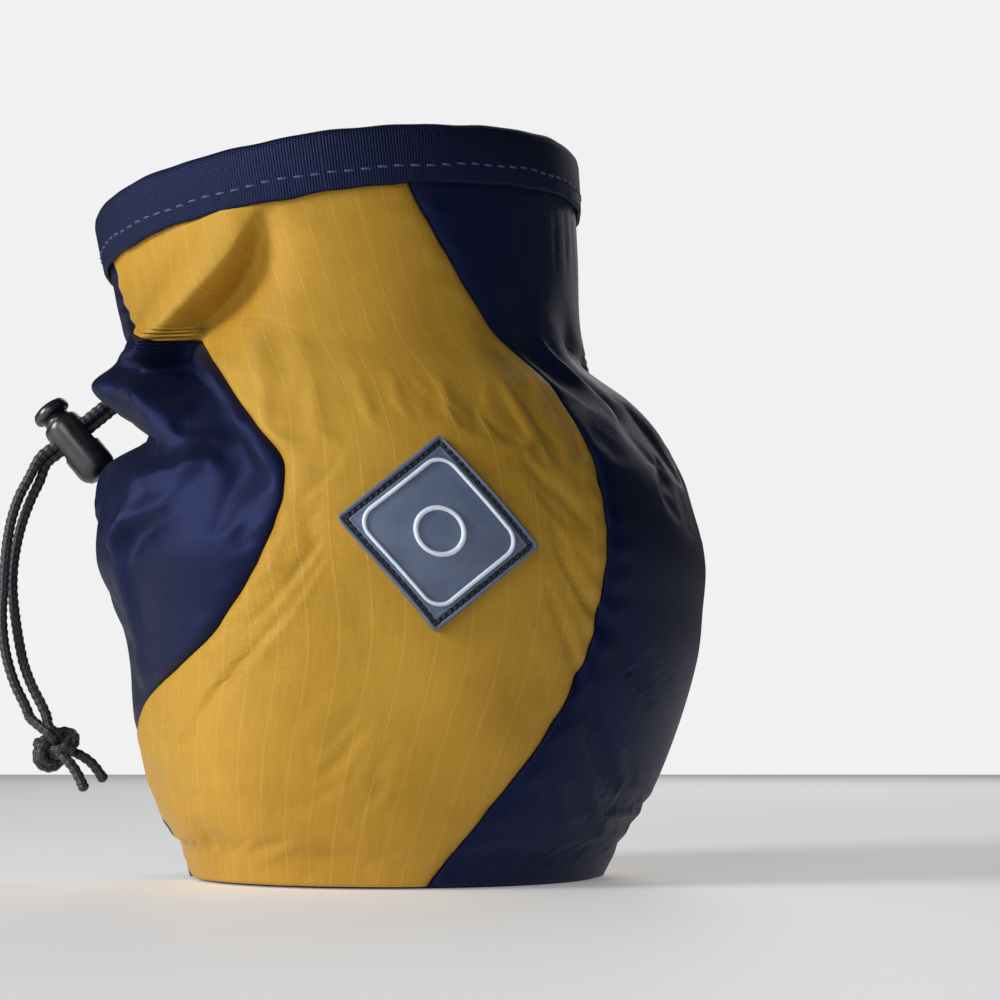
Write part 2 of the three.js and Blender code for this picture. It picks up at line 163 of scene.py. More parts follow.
# Each area light: its name, place, size, power and colour.
LIGHTS = [
    ("window", (-0.92, -0.46, 0.42), (0.35, 0.45), 9.5, (0.97, 0.98, 1)),
    ("back_fill", (0.25, 1.1, 0.75), (0.8, 0.8), 4, (1, 1, 1)),
    ("front_fill", (-0.45, -1.1, 0.4), (0.5, 0.5), 3.2, (0.96, 0.98, 1)),
]


def make_light():
    """Three soft lights, and a world that is paler to the camera than it is as a light."""
    world = bpy.data.worlds.new("studio")
    bpy.context.scene.world = world
    world.use_nodes = True
    tree = world.node_tree
    background = tree.nodes["Background"]
    background.inputs["Color"].default_value = (1, 1, 1, 1)
    seen = tree.nodes.new("ShaderNodeLightPath").outputs["Is Camera Ray"]
    strength = tree.nodes.new("ShaderNodeMapRange")
    strength.inputs["To Min"].default_value = AMBIENT
    strength.inputs["To Max"].default_value = BACKDROP
    tree.links.new(seen, strength.inputs["Value"])
    tree.links.new(strength.outputs["Result"], background.inputs["Strength"])
    for light in LIGHTS:
        area_light(*light)
    bpy.context.scene.view_settings.view_transform = "Standard"


FLOOR_GLOW = 0.22
FLOOR_HALF = 1.5
FLOOR_DROP = 0.2 * MM
FLOOR_GREY = 0.9


def make_floor():
    mesh = bpy.data.meshes.new("floor")
    corners = [(x * FLOOR_HALF, y * FLOOR_HALF, 0) for x, y in ((-1, -1), (1, -1), (1, 1), (-1, 1))]
    mesh.from_pydata(corners, [], [(0, 1, 2, 3)])
    floor = bpy.data.objects.new("floor", mesh)
    bpy.context.scene.collection.objects.link(floor)
    floor.location.z = -FLOOR_DROP
    material = bpy.data.materials.new("pale_floor")
    material.use_nodes = True
    shader = material.node_tree.nodes["Principled BSDF"]
    shader.inputs["Base Color"].default_value = (FLOOR_GREY, FLOOR_GREY, FLOOR_GREY, 1)
    shader.inputs["Roughness"].default_value = 0.6
    shader.inputs["Emission Color"].default_value = (1, 1, 1, 1)
    shader.inputs["Emission Strength"].default_value = FLOOR_GLOW
    mesh.materials.append(material)


# ---- Materials ----


class Nodes:
    """Short calls for building one material's node tree."""

    def __init__(self, name):
        self.material = bpy.data.materials.new(name)
        self.material.use_nodes = True
        self.tree = self.material.node_tree
        self.shader = self.tree.nodes["Principled BSDF"]

    def node(self, kind, inputs=(), **settings):
        made = self.tree.nodes.new(kind)
        for key, value in settings.items():
            setattr(made, key, value)
        for key, value in dict(inputs).items():
            self.set(made.inputs[key], value)
        return made

    def set(self, socket, value):
        if isinstance(value, bpy.types.NodeSocket):
            self.tree.links.new(value, socket)
        else:
            socket.default_value = value

    def maths(self, operation, *values):
        made = self.node("ShaderNodeMath", operation=operation)
        for socket, value in zip(made.inputs, values):
            self.set(socket, value)
        return made.outputs[0]

    def cloth_uv(self):
        """The piece's own UVs, in metres, as separate u and v."""
        uv = self.node("ShaderNodeUVMap", uv_map="cloth").outputs["UV"]
        parts = self.node("ShaderNodeSeparateXYZ", {"Vector": uv})
        return uv, parts.outputs["X"], parts.outputs["Y"]

    def noise(self, vector, scale, detail=3.0, roughness=0.5):
        inputs = {"Vector": vector, "Scale": scale, "Detail": detail, "Roughness": roughness}
        return self.node("ShaderNodeTexNoise", inputs).outputs["Fac"]

    def place(self):
        return self.node("ShaderNodeTexCoord").outputs["Object"]

    def ramp(self, value, stops):
        made = self.node("ShaderNodeValToRGB", {"Fac": value})
        elements = made.color_ramp.elements
        while len(elements) < len(stops):
            elements.new(0.5)
        for element, (position, colour) in zip(elements, stops):
            element.position = position
            element.color = (*colour, 1)
        return made.outputs["Color"]

    def mix(self, share, first, second, blend="MIX"):
        made = self.node("ShaderNodeMix", data_type="RGBA", blend_type=blend)
        self.set(made.inputs[0], share)
        self.set(made.inputs[6], first)
        self.set(made.inputs[7], second)
        return made.outputs[2]

    def wave(self, value, period, phase=0.0):
        """0 to 1 and back over each period of value."""
        turned = self.maths("MULTIPLY_ADD", value, 2 * math.pi / period, phase)
        return self.maths("MULTIPLY_ADD", self.maths("SINE", turned), 0.5, 0.5)

    def line(self, value, period, width):
        """1 on a thin line each period of value, falling to 0 at width on either side."""
        share = self.maths("PINGPONG", value, period / 2)
        height = self.maths("SUBTRACT", 1.0, self.maths("DIVIDE", share, width))
        return self.maths("SMOOTH_MAX", height, 0.0, 0.05)

    def blend(self, first, second, share):
        """The sum of two values, first weighted 1 - share and second weighted share."""
        kept = self.maths("MULTIPLY", first, 1 - share)
        return self.maths("ADD", kept, self.maths("MULTIPLY", second, share))

    def bump(self, height, distance, strength=1.0, normal=None):
        inputs = {"Height": height, "Distance": distance, "Strength": strength}
        made = self.node("ShaderNodeBump", inputs)
        if normal is not None:
            self.set(made.inputs["Normal"], normal)
        return made.outputs["Normal"]

    def finish(self, colour=None, roughness=None, normal=None, **constants):
        for key, value in (("Base Color", colour), ("Roughness", roughness), ("Normal", normal)):
            if value is not None:
                self.set(self.shader.inputs[key], value)
        for key, value in constants.items():
            self.shader.inputs[key.replace("_", " ")].default_value = value
        return self.material


TWILL = 0.62 * MM
RIPSTOP = 6.2 * MM


def ripstop_material(name, deep, middle, bright, thread, gloss):
    """A satin twill with a thicker ripstop thread every few millimetres, creased and a little uneven, with
    painted shade along the twill's troughs.
    """
    n = Nodes(name)
    uv, across, up = n.cloth_uv()
    diagonal = n.maths("ADD", across, n.maths("MULTIPLY", up, 1.4))
    twill = n.wave(diagonal, TWILL)
    weft = n.wave(up, TWILL * 0.55)
    wobble = n.maths("MULTIPLY", n.noise(uv, 30.0, 1.0), 1.0 * MM)
    warp_line = n.line(n.maths("ADD", across, wobble), RIPSTOP, 0.28 * MM)
    weft_line = n.maths("MULTIPLY", n.line(up, RIPSTOP, 0.25 * MM), 0.08)
    lines = n.maths("MAXIMUM", warp_line, weft_line)
    cloudy = n.noise(n.place(), 38.0, 5.0, 0.6)
    slub = n.noise(n.node("ShaderNodeMapping", {"Vector": uv, "Scale": (1700, 160, 1)}).outputs[0], 1.0, 2.0)
    shade = n.blend(cloudy, slub, 0.3)
    colour = n.ramp(shade, [(0.3, deep), (0.52, middle), (0.75, bright)])
    colour = n.mix(n.maths("MULTIPLY", lines, 0.4), colour, (*thread, 1))
    # Painted shade: the colour is darkened along the twill's troughs and a touch lighter on its ridges,
    # following the weave's relief.
    grain = n.maths("MULTIPLY_ADD", twill, 0.12, 0.9)
    grey = n.node("ShaderNodeCombineColor", {0: grain, 1: grain, 2: grain}).outputs[0]
    colour = n.mix(1.0, colour, grey, "MULTIPLY")
    weave = n.maths("ADD", n.maths("MULTIPLY", twill, 0.6), n.maths("MULTIPLY", weft, 0.3))
    relief = n.maths("ADD", weave, n.maths("MULTIPLY", lines, 0.45))
    creases = n.maths("ABSOLUTE", n.maths("SUBTRACT", n.noise(n.place(), 70.0, 4.0, 0.6), 0.5))
    normal = n.bump(relief, 0.07 * MM, 0.8)
    normal = n.bump(creases, 0.5 * MM, 0.3, normal)
    roughness = n.maths("MULTIPLY_ADD", shade, 0.25, 0.34)
    level, tint = gloss
    return n.finish(
        colour, roughness, normal, Sheen_Weight=0.02, Specular_IOR_Level=level, Specular_Tint=tint,
    )


TAPE_TINT = (0.34, 0.42, 1, 1)


def tape_material(name, deep, bright):
    """Ribbed woven tape: fine ribs across it, crossed by a finer weave, its colour painted darker in the
    troughs and lighter on the crests (painted shade and painted highlight), with random cloudy tone.
    """
    n = Nodes(name)
    uv, along, across = n.cloth_uv()
    ribs = n.wave(along, 0.62 * MM)
    picks = n.wave(n.maths("MULTIPLY_ADD", along, 0.5, across), 0.7 * MM)
    weave = n.maths("MULTIPLY", ribs, n.maths("MULTIPLY_ADD", picks, 0.6, 0.4))
    cloudy = n.noise(n.place(), 60.0, 4.0)
    shade = n.blend(weave, cloudy, 0.4)
    # Painted shade and painted highlight: darker in the weave's troughs and lighter on its crests, mixed
    # with random cloudy tone.
    colour = n.ramp(shade, [(0.15, deep), (0.8, bright)])
    normal = n.bump(weave, 0.16 * MM, 0.9)
    roughness = n.maths("MULTIPLY_ADD", cloudy, 0.2, 0.48)
    return n.finish(colour, roughness, normal, Specular_IOR_Level=0.5, Specular_Tint=TAPE_TINT)


def fleece_material():
    n = Nodes("grey_fleece")
    tufts = n.noise(n.place(), 900.0, 4.0, 0.7)
    clumps = n.noise(n.place(), 160.0, 3.0)
    shade = n.blend(tufts, clumps, 0.4)
    colour = n.ramp(shade, [(0.3, (0.2, 0.21, 0.23)), (0.7, (0.5, 0.51, 0.54))])
    normal = n.bump(shade, 0.8 * MM, 0.9)
    return n.finish(colour, 0.95, normal, Sheen_Weight=0.8, Sheen_Roughness=0.6)


def cord_material():
    """Braided nylon: two families of yarns crossing on a diagonal, with a slight gloss, each yarn painted
    lighter on its crest and darker where it dips between the others: painted highlight and painted shade.
    """
    n = Nodes("black_braid")
    uv, along, around = n.cloth_uv()
    left = n.wave(n.maths("ADD", along, n.maths("MULTIPLY", around, 0.8)), 0.8 * MM)
    right = n.wave(n.maths("SUBTRACT", along, n.maths("MULTIPLY", around, 0.8)), 0.8 * MM)
    yarns = n.maths("MAXIMUM", left, right)
    fuzz = n.noise(n.place(), 1500.0, 2.0)
    shade = n.blend(yarns, fuzz, 0.4)
    # Painted highlight and painted shade: the colour follows the yarns' relief, near black between the yarns
    # and lighter on their crests, with a little random fuzz.
    colour = n.ramp(shade, [(0.2, (0.003, 0.003, 0.004)), (0.85, (0.03, 0.031, 0.038))])
    normal = n.bump(shade, 0.1 * MM, 0.8)
    return n.finish(colour, n.maths("MULTIPLY_ADD", fuzz, 0.2, 0.38), normal, Sheen_Weight=0.1)


def thread_material(name, deep, bright):
    n = Nodes(name)
    twist = n.noise(n.place(), 2600.0, 2.0)
    colour = n.ramp(twist, [(0.3, deep), (0.7, bright)])
    return n.finish(colour, n.maths("MULTIPLY_ADD", twist, 0.2, 0.4), n.bump(twist, 0.05 * MM, 0.7))


def plastic_material(name, deep, bright, roughness):
    """Moulded plastic with a fine spark-eroded grain and faint handling marks."""
    n = Nodes(name)
    grain = n.noise(n.place(), 4200.0, 2.0)
    marks = n.noise(n.place(), 260.0, 6.0, 0.7)
    colour = n.ramp(marks, [(0.35, deep), (0.75, bright)])
    normal = n.bump(grain, 0.02 * MM, 0.5)
    uneven = n.maths("MULTIPLY_ADD", marks, 0.16, roughness - 0.08)
    return n.finish(colour, uneven, normal, Specular_IOR_Level=0.8)


def rubber_material(name, deep, bright, roughness):
    n = Nodes(name)
    cast = n.noise(n.place(), 210.0, 5.0, 0.65)
    pores = n.noise(n.place(), 3000.0, 2.0)
    colour = n.ramp(cast, [(0.3, deep), (0.7, bright)])
    normal = n.bump(pores, 0.03 * MM, 0.5)
    return n.finish(colour, n.maths("MULTIPLY_ADD", cast, 0.2, roughness - 0.1), normal)


def steel_material():
    n = Nodes("spring_wire")
    drawn = n.noise(n.place(), 1800.0, 3.0)
    colour = n.ramp(drawn, [(0.3, (0.45, 0.46, 0.47)), (0.7, (0.62, 0.63, 0.64))])
    roughness = n.maths("MULTIPLY_ADD", drawn, 0.2, 0.2)
    return n.finish(colour, roughness, n.bump(drawn, 0.02 * MM, 0.4), Metallic=1.0)


# The two cloths: deep, middle, bright and thread colours, then how strong their gloss is and its tint.
YELLOW = (
    (0.42, 0.225, 0.022), (0.52, 0.285, 0.032), (0.6, 0.34, 0.045), (0.68, 0.42, 0.085),
    (0.3, (1, 0.85, 0.5, 1)),
)
NAVY = (
    (0.0015, 0.003, 0.014), (0.0025, 0.0045, 0.022), (0.004, 0.007, 0.034), (0.006, 0.01, 0.045),
    (0.42, (0.26, 0.34, 1, 1)),
)


def make_materials():
    return {
        "yellow": ripstop_material("yellow_ripstop", *YELLOW),
        "navy": ripstop_material("navy_ripstop", *NAVY),
        "tape": tape_material("navy_tape", (0.001, 0.002, 0.008), (0.006, 0.009, 0.036)),
        "webbing": tape_material("navy_webbing", (0.001, 0.002, 0.008), (0.006, 0.008, 0.03)),
        "fleece": fleece_material(),
        "cord": cord_material(),
        "blue_thread": thread_material("blue_thread", (0.03, 0.035, 0.13), (0.075, 0.085, 0.26)),
        "black_thread": thread_material("black_thread", (0.004, 0.004, 0.005), (0.03, 0.03, 0.034)),
        "navy_thread": thread_material("navy_thread", (0.01, 0.014, 0.05), (0.03, 0.04, 0.12)),
        "lock": plastic_material("black_plastic", (0.006, 0.006, 0.008), (0.016, 0.017, 0.021), 0.3),
        "hoop": plastic_material("hoop_plastic", (0.6, 0.62, 0.64), (0.74, 0.76, 0.78), 0.45),
        "slate": rubber_material("slate_rubber", (0.085, 0.115, 0.19), (0.12, 0.155, 0.245), 0.5),
        "pale": rubber_material("pale_rubber", (0.66, 0.74, 0.86), (0.78, 0.84, 0.93), 0.5),
        "steel": steel_material(),
    }


# ---- Placing pieces, and meshes from points ----


def place_piece(piece, node=None, body="bag"):
    """Puts a piece on its body, in place of the CAD node that it stands for."""
    if node:
        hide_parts(node)
    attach(piece, body)


def path_length(path):
    """How far along a path each of its points lies."""
    return np.concatenate([[0], np.cumsum(np.linalg.norm(np.diff(path, axis=0), axis=1))])


def mesh_object(name, points, faces, material, uvs=None):
    """A smooth-shaded object. uvs holds one (u, v) in metres for each corner of each face."""
    mesh = bpy.data.meshes.new(name)
    mesh.from_pydata(np.asarray(points).reshape(-1, 3).tolist(), [], faces)
    if uvs is not None:
        layer = mesh.uv_layers.new(name="cloth")
        layer.data.foreach_set("uv", np.asarray(uvs, np.float32).ravel())
    mesh.shade_smooth()
    mesh.materials.append(material)
    made = bpy.data.objects.new(name, mesh)
    bpy.context.scene.collection.objects.link(made)
    return made


def grid_faces(columns, rows, wrap=False, base=0):
    """Quads over points laid out column by column. wrap joins the last column to the first."""
    faces = []
    for i in range(columns if wrap else columns - 1):
        here = base + i * rows
        there = base + ((i + 1) % columns) * rows
        faces += [(here + j, there + j, there + j + 1, here + j + 1) for j in range(rows - 1)]
    return faces


def corner_uvs(faces, point_uvs):
    return np.asarray(point_uvs)[np.asarray(faces)]


def ring_object(name, rings, material, closed=True, along=None):
    """A skin over rings of points, each ring closed. closed joins the last ring to the first."""
    rings = np.asarray(rings)
    count, sides = rings.shape[:2]
    faces = []
    uvs = []
    if along is None:
        along = path_length(rings.mean(axis=1))
    around = path_length(np.vstack([rings[0], rings[0][:1]]))
    step = along[-1] - along[-2]
    for i in range(count if closed else count - 1):
        here, there = i * sides, ((i + 1) % count) * sides
        u0, u1 = along[i], along[i] + (step if i == count - 1 else along[i + 1] - along[i])
        for j in range(sides):
            k = (j + 1) % sides
            faces.append((here + j, there + j, there + k, here + k))
            uvs += [(u0, around[j]), (u1, around[j]), (u1, around[j + 1]), (u0, around[j + 1])]
    if not closed:
        for end, order in ((0, 1), (count - 1, -1)):
            faces.append(tuple(end * sides + j for j in range(sides))[::order])
            uvs += [(along[end], a) for a in around[:-1]]
    return mesh_object(name, rings, faces, material, uvs)


# ---- Where the lock lies on its cord, in millimetres, with its axis and the cord's way out ----

LOCK = (-75.2, 0, 99.2)
LOCK_AXIS = (-0.6388, 0, 0.7694)
CORD_WAY = (-0.7694, 0, -0.6388)


# ---- The cloth shell: smooth bag, folds, a cloth simulation, then sharp creases ----

COLUMNS = {"front": 56, "right": 64, "back": 56, "left": 64}
SHELL_ROWS = 101
FINE = 2
REFERENCE_RADIUS = 60 * MM  # angles are measured off on a cylinder of this size

# Each fold is a line of (angle, height) in degrees and millimetres, with its rise and width in millimetres.
FOLDS = [
    ([(-24, 143), (-35, 133), (-47, 123), (-58, 117)], 2.0, 6.0),
    ([(-50, 110), (-40, 103), (-33, 93), (-28, 84)], -6.0, 7.0),
    ([(-72, 107), (-63, 107), (-54, 105), (-48, 100)], 7.0, 5.0),
    ([(-58, 103), (-54, 101)], -2.6, 2.6),
    ([(-100, 98.5), (-76, 98.5), (-58, 95), (-42, 90)], -8.5, 4.2),
    ([(-64, 116), (-84, 116), (-100, 118)], -3.0, 5.0),
    ([(-72, 88), (-66, 82), (-65, 76), (-67, 70), (-74, 60)], 2.4, 5.0),
    ([(-92, 106), (-92, 112)], -2.5, 6.0),
    ([(-100, 99), (-88, 98.5), (-76, 98)], -3.0, 3.5),
    ([(-92, 96), (-94, 84), (-94, 74)], -2.5, 8.0),
    ([(-92, 110), (-92, 56), (-92, 4)], -1.9, 26.0),
    ([(-50, 88), (-54, 76), (-57, 68), (-60, 58), (-63, 46)], 2.8, 3.0),
    ([(-50, 85), (-42, 87), (-34, 88)], 3.0, 3.0),
    ([(-24, 57), (-10, 43), (6, 28), (14, 20)], -2.6, 12.0),
    ([(-60, 24), (-50, 16), (-46, 6)], -1.5, 4.0),
    ([(-30, 12), (0, 9), (20, 12)], 1.0, 5.0),
    ([(44, 118), (52, 108), (60, 100)], -2.5, 5.0),
    ([(70, 116), (88, 110), (104, 104)], -3.0, 4.5),
    ([(66, 106), (84, 98), (96, 88)], 2.2, 6.0),
    ([(120, 118), (132, 108), (140, 92)], -3.2, 5.0),
    ([(160, 116), (172, 104), (176, 88)], -3.0, 5.0),
    ([(150, 110), (158, 96), (160, 80)], 2.4, 6.0),
    ([(205, 117), (214, 104), (226, 90)], -3.4, 5.0),
    ([(238, 118), (250, 106), (262, 98)], -3.6, 4.6),
    ([(228, 108), (236, 92), (244, 78)], 2.6, 6.0),
    ([(100, 60), (120, 42), (136, 30)], -2.0, 10.0),
    ([(190, 52), (206, 36), (216, 22)], -2.0, 9.0),
]
# Sharp creases: a line, then in millimetres the ridge left of it, the drop right of it, the widths of
# those two, and the lean over the right side.
CREASES = [
    ([(-13, 147), (-24, 135), (-36, 125), (-49, 116), (-60, 108)], 2.8, 10.5, 6.5, 12.0, 2.8),
    (
        [(-14, 74), (-18, 82), (-25, 93), (-31, 102), (-38, 109), (-50, 113.5), (-70, 115)],
        1.8, 6.5, 5.0, 7.5, 0,
    ),
    ([(-38, 81), (-44, 79), (-52, 76.5), (-59, 70)], 2.0, 2.6, 4.0, 4.0, 0),
    ([(-74, 94), (-71, 82), (-77, 73), (-84, 68)], 1.2, 4.0, 3.0, 3.5, 0),
    ([(-62, 98), (-48, 94), (-36, 91)], 1.4, 2.4, 3.5, 3.5, 0),
    ([(-20, 79), (-17, 72), (-15, 64)], 0.5, 1.0, 2.2, 2.4, 0),
    ([(-24, 70), (-20, 62), (-18, 55)], 0.5, 1.1, 2.2, 2.4, 0),
    ([(-31, 60), (-26, 53), (-24, 46)], 0.4, 0.9, 2.2, 2.6, 0),
    ([(-72, 34), (-60, 27), (-52, 18)], 0.5, 0.9, 3.0, 4.0, 0),
    ([(50, 119), (57, 108), (60, 96)], 1.0, 2.6, 4.0, 5.0, 0),
    ([(86, 118), (84, 107), (94, 95)], 1.4, 2.8, 4.0, 5.0, 0),
    ([(124, 119), (128, 106), (124, 92)], 1.2, 2.6, 4.0, 5.0, 0),
    ([(164, 118), (158, 104), (160, 88)], 1.4, 2.8, 4.0, 5.5, 0),
    ([(206, 119), (212, 105), (208, 90)], 1.4, 3.0, 4.0, 5.5, 0),
    ([(236, 118), (232, 106), (240, 92)], 1.2, 2.6, 4.0, 5.0, 0),
]
CREASE_EDGE = 2.4 * MM
CREASE_LIMIT = 10 * MM

PATCH_PLACE = (8.4, 71 * MM)
PATCH_CLEAR = 26 * MM
PATCH_RADIUS = 68 * MM
CALM_FRONT = (8, 42)  # middle and reach in degrees of the smooth front
SLACK_SIDE = (-70, 32)
FLAP_FOOT = (-46, 18, 114 * MM, 9 * MM)  # its middle and reach in degrees, then its height and reach
GATHER_COUNT = 26
GATHER_DEPTH = 1.1 * MM
GATHER_TALL = 11 * MM


def panel_angles(heights):
    """Angles of every column at every height, from the left seam right round."""
    left = left_seam_at(heights)
    right = right_seam_at(heights)
    edges = [left, right, left + HALF_TURN, right + HALF_TURN, left + FULL_TURN]
    blocks = []
    for (low, high), count in zip(zip(edges, edges[1:]), COLUMNS.values()):
        share = np.arange(count) / count
        blocks.append(low + (high - low) * share[:, None])
    return np.concatenate(blocks)


def turn_from(angle, middle):
    """How far an angle lies round the bag from middle, in degrees from -180 to 180."""
    return (angle - middle + HALF_TURN) % FULL_TURN - HALF_TURN


def distance_to_line(angle, height, line):
    """Distance of each (angle, height) to a line on the bag, the share along it, and if right of it."""
    middle = (line[0][0] + line[-1][0]) / 2
    x = np.radians(turn_from(angle, middle)) * REFERENCE_RADIUS
    corners = [(math.radians(a - middle) * REFERENCE_RADIUS, h * MM) for a, h in line]
    lengths = [math.dist(a, b) for a, b in zip(corners, corners[1:])]
    best = np.full(np.broadcast(x, height).shape, np.inf)
    along = np.zeros_like(best)
    right = np.zeros(best.shape, bool)
    done = 0.0
    for (x0, y0), (x1, y1), length in zip(corners, corners[1:], lengths):
        share = np.clip(((x - x0) * (x1 - x0) + (height - y0) * (y1 - y0)) / length**2, 0, 1)
        away = np.hypot(x - x0 - share * (x1 - x0), height - y0 - share * (y1 - y0))
        beside = (x1 - x0) * (height - y0) - (y1 - y0) * (x - x0) > 0
        right = np.where(away < best, beside, right)
        along = np.where(away < best, (done + share * length) / sum(lengths), along)
        best = np.minimum(best, away)
        done += length
    return best, along, right


def crease_shift(angle, height):
    """How far the sharp folds move the cloth: outwards, along the turn and upwards, each a grid in metres.

    Each fold stands up along its line and falls away at once on the line's right side. With a lean it
    hangs over that side.
    """
    rise = np.zeros(np.broadcast(angle, height).shape)
    sideways, upwards = np.zeros_like(rise), np.zeros_like(rise)
    for line, ridge, drop, left_width, right_width, lean in CREASES:
        away, along, right = distance_to_line(angle, height, line)
        edge = np.exp(-((away / CREASE_EDGE) ** 2))
        hill = np.exp(-((away / (left_width * MM)) ** 2))
        dip = (ridge + drop) * edge - drop * np.exp(-((away / (right_width * MM)) ** 2))
        ends = smoothstep(along, 0, 0.4) * (1 - smoothstep(along, 0.8, 1)) * MM
        rise += np.where(right, dip, ridge * hill) * ends
        run = math.radians(line[-1][0] - line[0][0]) * REFERENCE_RADIUS
        climb = (line[-1][1] - line[0][1]) * MM
        over = lean * np.where(right, edge, hill) * ends / math.hypot(run, climb)
        sideways -= over * climb
        upwards += over * run
    rise = np.where(rise < 0, CREASE_LIMIT * np.tanh(rise / CREASE_LIMIT), rise)
    return rise, sideways, upwards


# The room kept for the lock: its radius, its two ends along its axis, and its travel along the cord.
LOCK_REACH = 5.6 * MM
LOCK_ENDS = (-11.4 * MM, 4.5 * MM)
LOCK_TRAVEL = (-3.4 * MM, 0)
LOCK_PUSHES = 12
LOCK_INWARDS = (0.9, 0, -0.3)


def clear_of_lock(points):
    """The cloth pushed in where the lock lies against it, so that the lock can slide up its cord."""
    axis, way = np.array(LOCK_AXIS), np.array(CORD_WAY)
    side = np.cross(axis, way)
    moved = points.copy()
    for _ in range(LOCK_PUSHES):
        local = moved - np.array(LOCK) * MM
        along, travel = local @ axis, local @ way
        gap = np.sqrt(
            (along - np.clip(along, *LOCK_ENDS)) ** 2
            + (travel - np.clip(travel, *LOCK_TRAVEL)) ** 2
            + (local @ side) ** 2
        )
        moved += np.maximum(LOCK_REACH - gap, 0)[..., None] * np.array(LOCK_INWARDS)
    return moved


def from_patch(angle, height):
    """Distance to the middle of the patch."""
    return np.hypot(np.radians(turn_from(angle, PATCH_PLACE[0])) * PATCH_RADIUS, height - PATCH_PLACE[1])


def at_flap_foot(angle, height):
    """1 at the foot of the flap under the rim, falling to 0 around it."""
    middle, reach, level, tall = FLAP_FOOT
    return np.exp(-((turn_from(angle, middle) / reach) ** 2) - ((height - level) / tall) ** 2)


def fold_rise(angle, height):
    """How far the folds stand out of the smooth bag, or in where it is negative."""
    rise = np.zeros(np.broadcast(angle, height).shape)
    for line, depth, width in FOLDS:
        away, along, _ = distance_to_line(angle, height, line)
        ends = 0.35 + 0.65 * np.sin(np.pi * np.clip(along, 0.08, 0.92))
        rise += depth * MM * ends * np.exp(-((away / (width * MM)) ** 2))
    turn = np.radians(angle)
    pleats = np.sin(GATHER_COUNT * turn + 1.7 * np.sin(3 * turn) + 1.1 * np.sin(7 * turn + 1))
    calm = 1 - np.exp(-((turn_from(angle, CALM_FRONT[0]) / CALM_FRONT[1]) ** 2))
    near_waist = np.exp(-(((height - WAIST) / GATHER_TALL) ** 2))
    rise += GATHER_DEPTH * pleats * calm * near_waist
    rise *= smoothstep(from_patch(angle, height), PATCH_CLEAR * 0.75, PATCH_CLEAR)
    return rise * smoothstep(height, 0, 9 * MM) * (1 - smoothstep(height, 141 * MM, 149 * MM))


SIM_FRAMES = 22
SIM_SLACK = -0.06
SIM_CAP = 4.0 * MM
LIGHT_HOLD = 0.12
SLACK_TALL = 20 * MM


def pin_weights(angles, heights):
    """1 where the cloth is held: at the rim, at the base and under the patch. Elsewhere a light hold."""
    held = np.full(angles.shape, LIGHT_HOLD)
    held = np.maximum(held, 1 - smoothstep(from_patch(angles, heights), PATCH_CLEAR * 0.7, PATCH_CLEAR))
    held = np.maximum(held, 1 - smoothstep(heights, 1 * MM, 7 * MM))
    held = np.maximum(held, smoothstep(heights, 140 * MM, 146 * MM))
    held = np.maximum(held, 0.9 * at_flap_foot(angles, heights))
    return np.maximum(held, 0.8 * np.exp(-(((heights - WAIST) / (3 * MM)) ** 2)))


def slack_weights(angles, heights):
    """Where the cloth has spare length to buckle with: the gathered waist and the soft left side."""
    slack = 0.05 + 0.95 * np.exp(-(((heights - WAIST) / SLACK_TALL) ** 2))
    middle, reach = SLACK_SIDE
    side = np.exp(-((turn_from(angles, middle) / reach) ** 2)) * smoothstep(heights, 15 * MM, 50 * MM)
    slack = np.maximum(slack, side)
    calm = np.exp(-((turn_from(angles, CALM_FRONT[0]) / CALM_FRONT[1]) ** 4))
    return np.clip(slack * (1 - 0.95 * calm) * (1 - at_flap_foot(angles, heights)), 0, 1)


def settle(points, weights, slack):
    """Runs the shell as slack cloth from its given shape, so that it wrinkles by itself."""
    columns, rows = points.shape[:2]
    material = bpy.data.materials.new("scratch")
    cloth = mesh_object("cloth_scratch", points, grid_faces(columns, rows, wrap=True), material)
    for name, values in (("held", weights), ("slack", slack)):
        group = cloth.vertex_groups.new(name=name)
        for index, weight in enumerate(values.ravel()):
            group.add([index], float(weight), "REPLACE")
    modifier = cloth.modifiers.new("Cloth", "CLOTH")
    settings = modifier.settings
    settings.quality = 6
    settings.mass = 0.08
    settings.tension_stiffness = 18
    settings.compression_stiffness = 18
    settings.shear_stiffness = 6
    settings.bending_stiffness = 0.5
    settings.vertex_group_shrink = "slack"
    settings.shrink_min = 0.0
    settings.shrink_max = SIM_SLACK
    settings.vertex_group_mass = "held"
    settings.pin_stiffness = 1.0
    settings.effector_weights.gravity = 0.25
    modifier.collision_settings.use_collision = False
    modifier.point_cache.frame_start = 1
    modifier.point_cache.frame_end = SIM_FRAMES
    for number in range(1, SIM_FRAMES + 1):
        bpy.context.scene.frame_set(number)
    settled = cloth.evaluated_get(bpy.context.evaluated_depsgraph_get())
    moved = np.zeros(points.size, np.float32)
    settled.data.vertices.foreach_get("co", moved)
    bpy.context.scene.frame_set(1)
    bpy.data.objects.remove(cloth)
    bpy.data.materials.remove(material)
    shift = moved.reshape(points.shape) - points
    length = np.linalg.norm(shift, axis=-1, keepdims=True)
    return points + shift * np.minimum(1, SIM_CAP / np.maximum(length, 1e-9))


